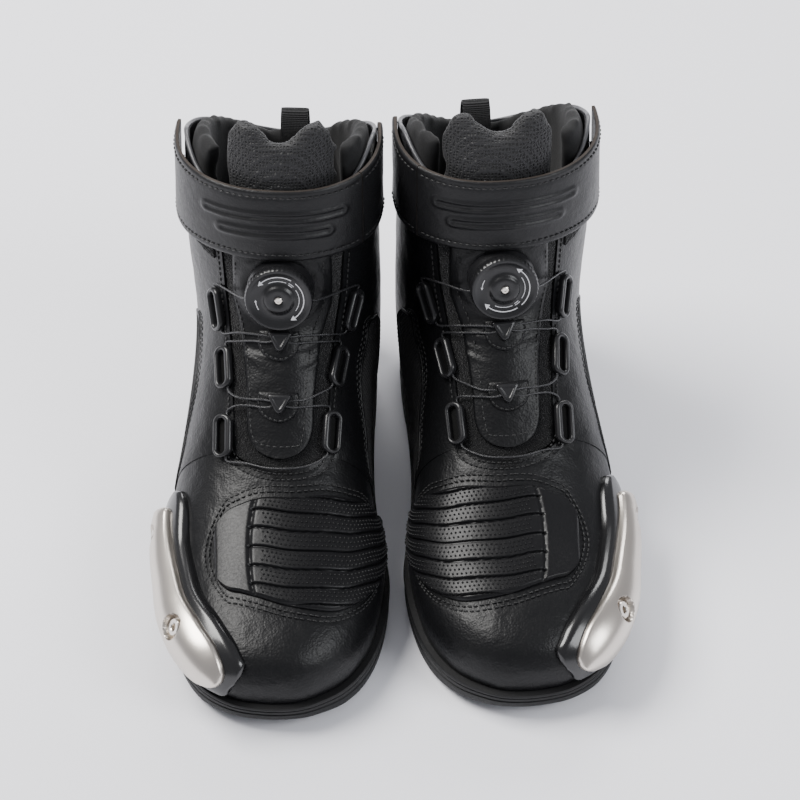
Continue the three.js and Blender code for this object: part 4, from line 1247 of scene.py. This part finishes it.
# %% Keepers
SHIELD_TOP = 2.2
KEEPERS = {"keeper_upper": 11.55, "keeper_lower": 10.}
triangle = np.array([(-6.2, 3.8), (-5.4, 4.6), (5.4, 4.6), (6.2, 3.8), (1.7, -4.6), (0, -5.6), (-1.7, -4.6)])


def keeper_shape():
    levels = ((1.05, 0.), (1., 2.4), (.88, 3.5), (.62, 3.9), (.5, 3.5), (.4, 3.4))
    points = np.array([(x * s, y * s, h) for s, h in levels for x, y in triangle])
    count = len(triangle)
    caps = [tuple(range(count)), tuple(range(len(points) - 1, len(points) - count - 1, -1))]
    return points, [*ring_faces(len(levels), count), *caps]


for side in SIDES:
    for name, t in KEEPERS.items():
        placing = frame_at(t, 0, SHIELD_TOP + .3, (1, 0, 0))
        block = put(name, *recentred(keeper_shape(), placing), side, GUIDE_PLASTIC, "tongue", sharp=30)
        bpy.context.view_layer.objects.active = block
        block.select_set(True)
        bpy.ops.object.mode_set(mode="EDIT")
        bpy.ops.mesh.select_all(action="SELECT")
        bpy.ops.mesh.normals_make_consistent(inside=False)
        bpy.ops.object.mode_set(mode="OBJECT")
        settle(block, name, "dial_plastic", ("BEVEL", {"width": .0003, "segments": 2}))
print("keepers in a boot:", len(KEEPERS))

# %% [markdown]
# ## Tongue shield
# The leather shield lies on the tongue from the gusset up to the strap. It widens behind the dial,
# creases just under it, and is sewn all round. The creases follow one band across the foot, so a
# noise stretched crosswise, and faded out away from that band, gives them as real height.

# %% Shield outline
SHIELD_HALF = [(9.7, 16.3), (10.3, 16.4), (12, 19.5), (13.6, 24), (15.2, 24), (17, 23)]
SHIELD_START = 8.7
SHIELD_END = 17.3


def shield_half(t):
    drop = np.clip((9.7 - np.asarray(t, float)) / (9.7 - SHIELD_START), 0, 1)
    return np.interp(t, *np.array(SHIELD_HALF).T) * np.sqrt(np.maximum(1 - drop * drop, .02))


def shield_line(inset, low, high):
    t = np.linspace(low, high, 16)
    left = [(p, angle_at(np.float64(p), float(shield_half(p) - inset), -1)) for p in t[::-1]]
    beside = [(low - .22, angle_at(np.float64(9.), 9., side)) for side in (-1, 1)]
    return [*left, beside[0], (low - .3, 0.), beside[1], *((p, -a) for p, a in left[::-1])]


# %% Shield
seams.clear()
sew("shield_stitches", [stitch_line(shield_line(2.2, 9.32, 15.2), SHIELD_TOP + .15, 3.0, 2.2)], "tongue")
u, v = np.meshgrid(np.linspace(0, 1, 130) ** 1.2, np.linspace(-1, 1, 60), indexing="ij")
shield_t = SHIELD_START + (SHIELD_END - SHIELD_START) * u
half = shield_half(shield_t)
shield_angle = both_sides(shield_t, half, v)
base = over(shield_t, shield_angle)
crease_zone = np.exp(-((shield_t - 11.15 - .25 * v ** 2) / .42) ** 2)
creases = np.array([noise.noise(Vector((x * .03, z * .42, 3.1)))
                    + .5 * noise.noise(Vector((x * .06, z * .9, 8.)))
                    for x, _, z in base.reshape(-1, 3)]).reshape(v.shape)
edge_round = np.sqrt(np.clip((1 - np.abs(v)) / .08, 0, 1))
off_axis = base - dial_centre
off_axis = np.linalg.norm(off_axis - (off_axis @ dial_axis)[..., None] * dial_axis, axis=-1)
dial_collar = 1.3 * np.exp(-((off_axis - 18.) / 3.2) ** 2) * edge_round
height = (SHIELD_TOP * (.45 + .55 * edge_round) + 1.5 * crease_zone * creases + wrinkles(base, .25)
          + dial_collar - pressed(base, seams, .3, 1.2))
shape = slab(over(shield_t, shield_angle, height), over(shield_t, shield_angle, .1))
for side in SIDES:
    settle(put("tongue_shield", *shape, side, BLACK_LEATHER, "tongue"), "tongue_shield", "leather")
print("shield length, mm:", round(float(np.linalg.norm(base[-1, 30] - base[0, 30]))))

# %% Keeper pockets
POCKET = spline([(-8.8, 6.6), (-9.2, 0), (-6.6, -6.4), (0, -9.6), (6.6, -6.4), (9.2, 0), (8.8, 6.6)], 48)
SEWN = spline([(-8., 4.6), (-7.9, 0), (-5.6, -5.6), (0, -8.4), (5.6, -5.6), (7.9, 0), (8., 4.6)], 24)
POCKET_RINGS = (0., .3, .6, .8, .9, .96, 1.)


def beside_middle(t, x, y):
    """The (t, angle) place a distance x across and y up from a point of the middle line."""
    stretch = np.linalg.norm(form_point(t + .5, np.float64(0)) - form_point(t - .5, np.float64(0)))
    place = t + np.asarray(y) / stretch
    return place, angle_at(place, np.abs(x), 1) * np.sign(x)


pocket_lines = []
for name, t in KEEPERS.items():
    rings = []
    for s in POCKET_RINGS:
        place, angle = beside_middle(np.float64(t), POCKET[:, 0] * s, POCKET[:, 1] * s)
        rings.append(over(place, angle, SHIELD_TOP - .6 + 2.1 * math.sqrt(1 - s ** 10)))
    rings = np.array(rings)
    faces = [f[::-1] for f in ring_faces(*rings.shape[:2])]
    for side in SIDES:
        pocket = put(f"{name}_pocket", rings, faces, side, BLACK_LEATHER, "tongue", sharp=60)
        settle(pocket, None, "leather")
    sewn = beside_middle(np.float64(t), *SEWN.T)
    pocket_lines.append(stitch_line(list(zip(*sewn)), SHIELD_TOP + 1.5, 2.6, 1.9))
sew("keeper_stitches", pocket_lines, "tongue")

# %% [markdown]
# ## Lacing wire
# One wire runs from the dial through all the guides and back: a smooth curve through places on the
# leather and under the guides' lips, with a round section. It is held all the way, so it needs no
# cord solver. The part below the closing height rides on the boot; the part over the tongue is cut
# into lateral and medial stretches, which are left in place on no body.

# %% Wire's way
WIRE_RADIUS = .55
WIRE_LEVEL = 6.


def under_lip(name, way):
    order = (12.5, 7, -7, -12.5) if way == "down" else (-12.5, -7, 7, 12.5)
    return [tuple(GUIDE_FRAMES[name] @ Vector((WIRE_OFFSET, y, WIRE_HEIGHT))) for y in order]


def lay(*places):
    return [tuple(over(np.float64(t), rad(d), lift)) for t, d, lift in places]


def at_dial(x, y):
    return tuple(dial_frame @ Vector((x, y, WIRE_LEVEL)))


route = [
    at_dial(-12.6, -1), at_dial(-18.5, -3), *under_lip("lateral_top", "down"),
    *lay((12, -24, 3.3), (11.82, -14, 3.4), (11.7, -6, 3.3)),
    *lay((11.52, 6, 3.3), (11.62, 16, 3.5), (11.85, 28, 3.4)),
    *under_lip("medial_middle", "down"),
    *lay((10.4, 24, 3.3), (10.16, 15, 3.4), (10.07, 6, 3.3)),
    *lay((9.92, -6, 3.3), (9.98, -14, 3.4), (10.05, -22, 3.3)),
    *under_lip("lateral_low", "down"),
    *lay((8.62, -17, 2), (8.42, -7, 2), (8.4, 4, 2), (8.58, 16, 2)),
    *under_lip("medial_low", "up"),
    *lay((10.12, 24, 3.2), (10, 15, 3.4), (9.93, 6, 4.9)),
    *lay((10.07, -6, 4.9), (10.13, -14, 3.6), (10.24, -22, 3.3)),
    *under_lip("lateral_middle", "up"),
    *lay((11.7, -24, 3.3), (11.6, -14, 3.5), (11.52, -6, 4.9)),
    *lay((11.7, 6, 4.9), (11.85, 16, 3.7), (12.15, 30, 3.4)),
    *under_lip("medial_top", "up"), at_dial(18.5, -3), at_dial(12.6, -1)]
wire_path = spline(route, 1100)
wire_length = np.linalg.norm(np.diff(wire_path, axis=0), axis=1).sum()
print("wire length in a boot, mm:", round(float(wire_length)))

# %% Wire
CLOSING_HEIGHT = 76.5            # below it the wire lies on the boot, in front of the tongue
closing = wire_path[:, 2] < CLOSING_HEIGHT
first, last = np.flatnonzero(closing)[[0, -1]]
stretches = {"lateral": [], "medial": [], "closing": [wire_path[first:last + 1]]}
for piece_path in (wire_path[:first + 1], wire_path[last:]):
    sign = piece_path[:, 0] > 0.
    cuts = [0, *(np.flatnonzero(np.diff(sign.astype(int))) + 1), len(piece_path)]
    for a, b in zip(cuts, cuts[1:]):
        stretch = piece_path[max(a - 1, 0):b]
        if len(stretch) > 2:
            stretches["medial" if stretch[len(stretch) // 2][0] > 0 else "lateral"].append(stretch)
for side in SIDES:
    for word, parts in stretches.items():
        shape = joined([tube_mesh(part, WIRE_RADIUS) for part in parts])
        wire = put(f"lace_wire_{word}", *shape, side, NYLON_WIRE, sharp=60)
        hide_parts(f"{side}_lace_wire")
        if word == "closing":
            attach(wire, f"{side}_boot")
        else:
            x = 1 if word == "medial" else -1
            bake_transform(wire)
print("stretches of wire:", {word: len(parts) for word, parts in stretches.items()})

# %% [markdown]
# ## Ankle strap
# The strap is one band of leather that closes over the front of the ankle. Its raw ends show a
# brown cut edge, thread runs along both borders, and two plain bars are embossed in it. It opens
# as one stiff flap, so it is split at the fold: the root rides on the boot, the rest on the strap.

# %% Strap outline
STRAP_INNER, STRAP_OUTER = 3., 5.6
STRAP_FOLD, STRAP_END = .86, 1.66
STRAP_ROWS = 70
JOINT_GAP = .005                 # half the slit at the fold, in radians round the ankle


def sideways(angle):
    return np.sin(np.minimum(np.abs(angle), np.pi / 2)) ** 2


def strap_low(angle):
    return 155 - 12 * sideways(angle)


def strap_high(angle):
    return 191 - 4 * sideways(angle)


def strap_t(angle, u):
    height = strap_low(angle) + (strap_high(angle) - strap_low(angle)) * u
    return solve(lambda t: over(t, angle, STRAP_OUTER)[..., 2], np.full(np.shape(angle), 14.), 20.9, height)


# %% Embossed bars
EMBOSSED = ((20.5, 26, -34, 32), (12, 17.5, -27, 25))
BAR_BORDER = 1.6
ANKLE_RADIUS = 47.


def bar(up, arc, low, high, start, end, soft=.9):
    """1 on an embossed bar with round ends, 0 off it: up and arc are in mm up and along the strap."""
    middle, half = (low + high) / 2, (high - low) / 2
    across = np.abs(up - middle)
    beyond = np.maximum(np.maximum(start + half - arc, arc - (end - half)), 0)
    distance = np.hypot(across, beyond) - half
    return 1 / (1 + np.exp(distance / soft * 3))


def embossing(up, arc):
    """A raised border round each sunken bar."""
    total = 0.
    for low, high, start, end in EMBOSSED:
        inside = (low + BAR_BORDER, high - BAR_BORDER, start + 1.5 * BAR_BORDER, end - 1.5 * BAR_BORDER)
        total = total + .7 * bar(up, arc, low, high, start, end) - .8 * bar(up, arc, *inside, .5)
    return total


# %% Strap
def strap_piece(name, start, end, columns, sink, body, open_end):
    u, v = np.meshgrid(np.linspace(0, 1, STRAP_ROWS), np.linspace(0, 1, columns), indexing="ij")
    angle = start + (end - start) * v
    t = strap_t(angle, u)
    edge = rounded_edge(u, np.where(open_end, np.minimum(v, .5), .5), (.05, .02))
    swell = embossing(u * 37, angle * ANKLE_RADIUS) + wrinkles(over(t, angle), .35) * edge
    outer = STRAP_OUTER - sink * v - .8 * (1 - edge) + swell - pressed(over(t, angle, 5.), seams, .3, 1.2)
    inner = STRAP_INNER - sink * v + .3 * (1 - edge)
    shape = slab(over(t, angle, outer), over(t, angle, inner))
    rim = 2 * (STRAP_ROWS - 1) * (columns - 1)
    joint = range(rim + columns - 1, rim + columns + STRAP_ROWS - 2) if open_end else ()
    raw = [k for k in range(rim, len(shape[1])) if k not in joint]
    for side in SIDES:
        settle(put(name, *shape, side, STRAP_LEATHER, body, raw, RAW_EDGE), name, "leather")
    print(name, "faces:", len(shape[1]))


def strap_line(u, start, end):
    angle = np.linspace(start, end, 30)
    return list(zip(strap_t(angle, np.full(30, u)), angle))


# %% Strap sewn and laid
STRAP_STITCH = (3.4, 2.5)        # pitch and length
BORDERS = (.09, .91)
end = -STRAP_END + .06
across_end = [(strap_t(np.float64(end), np.float64(u)), end) for u in np.linspace(*BORDERS, 6)]
seams.clear()
along = [strap_line(u, end, STRAP_FOLD - .04) for u in BORDERS]
strap_lines = [stitch_line(line, STRAP_OUTER + .1, *STRAP_STITCH) for line in (*along, across_end)]
sew("strap_stitches", strap_lines, "strap")
strap_piece("ankle_strap", -STRAP_END, STRAP_FOLD - JOINT_GAP, 170, 0, "strap", True)
root_lift = STRAP_OUTER + .1 - (STRAP_INNER - .6) * np.linspace(.05, .85, 30)
root_lines = [stitch_line(strap_line(u, STRAP_FOLD + .04, 1.57), root_lift, *STRAP_STITCH) for u in BORDERS]
sew("strap_root_stitches", root_lines)
strap_piece("strap_root", STRAP_FOLD + JOINT_GAP, 1.7, 50, STRAP_INNER - .6, "boot", False)

# %% Loop patch under the strap
u, v = np.meshgrid(np.linspace(0, 1, 60), np.linspace(rad(-40), rad(-80), 44), indexing="ij")
patch_low = 141 + 5 * (np.abs(v) - rad(40)) / rad(40)
patch_t = solve(lambda t: form_point(t, v)[..., 2], 13., 19.5, patch_low + (176 - patch_low) * u)
shape = slab(over(patch_t, v, 1.5 + .6 * rng.random(u.shape)), over(patch_t, v, .4))
for side in SIDES:
    settle(put("strap_loop_patch", *shape, side, LOOP_PILE), None, "lining")
print("loop patch faces:", len(shape[1]))

# %% [markdown]
# ## Stretch panels
# A ribbed stretch panel on each side lets the ankle flex. The ribs are wide enough to show in the
# outline, so they are real folds in a fine grid and not a bump in the material. A bound edge of
# leather runs along the front of each panel.

# %% Ribbed panels
RIBS = 46
for sign, word in ((-1, "lateral"), (1, "medial")):
    u, v = np.meshgrid(np.linspace(0, 1, 6 * RIBS), np.linspace(0, 1, 30), indexing="ij")
    t = 9.4 + 4.6 * u
    front, back = curve_between(PANEL_FRONT, t), curve_between(PANEL_BACK, t)
    angle = sign * rad(front + (back - front) * v)
    edge = rounded_edge(u, v, (.02, .1))
    shape = slab(over(t, angle, .35 + .75 * edge * np.abs(np.sin(np.pi * RIBS * u))), over(t, angle, -.8))
    bound = np.linspace(9.45, 13.95, 90)
    binding = tube_mesh(over(bound, sign * rad(curve_between(PANEL_FRONT, bound)), .35), .9)
    for side in SIDES:
        settle(put(f"ribbed_panel_{word}", *shape, side, RIBBED_CLOTH, sharp=60), None, "lining")
        settle(put(f"panel_binding_{word}", *binding, side, BLACK_LEATHER, sharp=60), None, "leather")
print("ribs on a panel:", RIBS)

# %% [markdown]
# ## Padded tongue and collar
# Foam under cloth swells between its seams, which a plain rounded box doesn't do. Each pad starts
# as a slightly thin shape on the form, is remeshed evenly, blown up by the cloth solver with no
# gravity, and held to a few millimetres of travel. The gusset's loop pile is laid over the lower
# tongue afterwards, and is left in place on no body.


# %% Padding
SWELL_FRAMES = 20


def inflate(piece, voxel, travel):
    """Swells a pad with the cloth solver, limiting how far any point may move."""
    bpy.ops.object.select_all(action="DESELECT")
    bpy.context.view_layer.objects.active = piece
    piece.select_set(True)
    remesh = piece.modifiers.new("even", "REMESH")
    remesh.mode = "VOXEL"
    remesh.voxel_size = voxel
    bpy.ops.object.modifier_apply(modifier=remesh.name)
    before = np.array([vertex.co for vertex in piece.data.vertices])
    cloth = piece.modifiers.new("swell", "CLOTH")
    cloth.settings.use_pressure = True
    cloth.settings.uniform_pressure_force = 4
    cloth.settings.effector_weights.gravity = 0
    for step in range(1, SWELL_FRAMES + 1):
        bpy.context.scene.frame_set(step)
    bpy.ops.object.modifier_apply(modifier=cloth.name)
    move = np.array([vertex.co for vertex in piece.data.vertices]) - before
    length = np.linalg.norm(move, axis=1, keepdims=True)
    after = before + move * np.minimum(1, travel / np.maximum(length, 1e-9))
    piece.data.vertices.foreach_set("co", after.ravel())
    bpy.context.scene.frame_set(1)
    relax = piece.modifiers.new("relax", "SMOOTH")
    relax.iterations = 3
    bpy.ops.object.modifier_apply(modifier=relax.name)
    finer = piece.modifiers.new("finer", "SUBSURF")
    finer.levels = finer.render_levels = 1
    bpy.ops.object.modifier_apply(modifier=finer.name)
    piece.select_set(False)
    smooth(piece, 180)


# %% Tongue
def tongue_top(across):
    lobes = np.sin(np.pi * np.minimum(np.abs(across) / .64, 1) / 2) ** 2
    return 19.95 + 1.02 * lobes - 1.5 * np.clip((np.abs(across) - .66) / .34, 0, 1) ** 2


u, v = np.meshgrid(np.linspace(0, 1, 60), np.linspace(-1, 1, 30), indexing="ij")
tongue_t = 8.6 + (tongue_top(v) - 8.6) * u ** 1.3
half = np.maximum(throat_half(tongue_t - .1) - 1.4, 1.)
tongue_angle = both_sides(tongue_t, half, v)
lobe = np.clip((tongue_t - 18) / 2, 0, 1)
groove = .8 * np.exp(-(v / .12) ** 2) * lobe
shape = slab(over(tongue_t, tongue_angle, -1.6 - groove), over(tongue_t, tongue_angle, -10.4))
for side in SIDES:
    tongue = put("tongue_padding", *shape, side, SPACER_MESH, "tongue")
    inflate(tongue, .0045, .0025)
    settle(tongue, "tongue_padding", "mesh_fabric")
print("tongue faces:", len(tongue.data.polygons))

# %% Gusset
u, v = np.meshgrid(np.linspace(0, 1, 190), np.linspace(0, 1, 44), indexing="ij")
t = 8.1 + (17.3 - 8.1) * u ** 1.3
half = np.maximum(throat_half(np.maximum(t - .1, 8.42)), 2.) + 4.5
for sign, word in ((-1, "lateral"), (1, "medial")):
    angle = angle_at(t, half * v, sign)
    lift = -1.1 + 1.1 * (1 - v) ** .4 + .5 * rng.random(u.shape)
    shape = slab(over(t, angle, lift), over(t, angle, lift - 1.))
    for side in SIDES:
        gusset = put(f"gusset_{word}", *shape, side, LOOP_PILE, sharp=180)
        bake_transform(gusset)
print("gusset faces:", len(shape[1]))

# %% Collar
front = rad(44)
u, v = np.meshgrid(np.linspace(0, 1, 24), np.linspace(0, 1, 110), indexing="ij")
turn = front + (2 * np.pi - 2 * front) * v
signed = np.where(turn > np.pi, turn - 2 * np.pi, turn)
collar_t = 17. + (20. - .6 * back_dip(signed) - .4 * front_slope(signed) - 17.) * u
shape = slab(over(collar_t, signed, -3.2), over(collar_t, signed, -11.4))
for side in SIDES:
    collar = put("collar_padding", *shape, side, LINING_CLOTH)
    inflate(collar, .0045, .0022)
    settle(collar, "collar_padding", "lining")
print("collar faces:", len(collar.data.polygons))

# %% Collar piping
turn = np.linspace(rad(37), 2 * np.pi - rad(37), 170)
signed = np.where(turn > np.pi, turn - 2 * np.pi, turn)
piping = tube_mesh(over(collar_top(signed) + .02, signed, -.5), 1.15, 10)
for side in SIDES:
    settle(put("collar_piping", *piping, side, PIPING, sharp=60), None, "leather")
print("piping points:", len(piping[0]))

# %% Pull loop
LOOP_MIDDLE = [(281, 128), (280.7, 146), (278.5, 160), (271.5, 167), (264.5, 160), (262.6, 146), (262.6, 136)]
path = spline([(y, z) for y, z in LOOP_MIDDLE], 60)
way = np.gradient(path, axis=0)
way /= np.linalg.norm(way, axis=1, keepdims=True)
across = np.stack([-way[:, 1], way[:, 0]], -1)
x = np.linspace(-7, 7, 15)
rib = .75 - .25 * np.abs(x / 7) ** 6


def loop_face(sign):
    yz = path[:, None] + sign * across[:, None] * rib[None, :, None]
    return np.concatenate([np.broadcast_to(x[None, :, None], (60, 15, 1)), yz], -1)


shape = slab(loop_face(1), loop_face(-1))
for side in SIDES:
    settle(put("pull_loop", *shape, side, WEBBING, sharp=60), "pull_loop", "webbing")
print("pull loop length, mm:", round(float(np.linalg.norm(np.diff(path, axis=0), axis=1).sum())))

# %% Carried-over pieces
for side in SIDES:
    insole = frame["nodes"][f"{side}_insole"]
    insole.data.materials.clear()
    insole.data.materials.append(FOOTBED_CLOTH)
print("kept solids: the insoles")
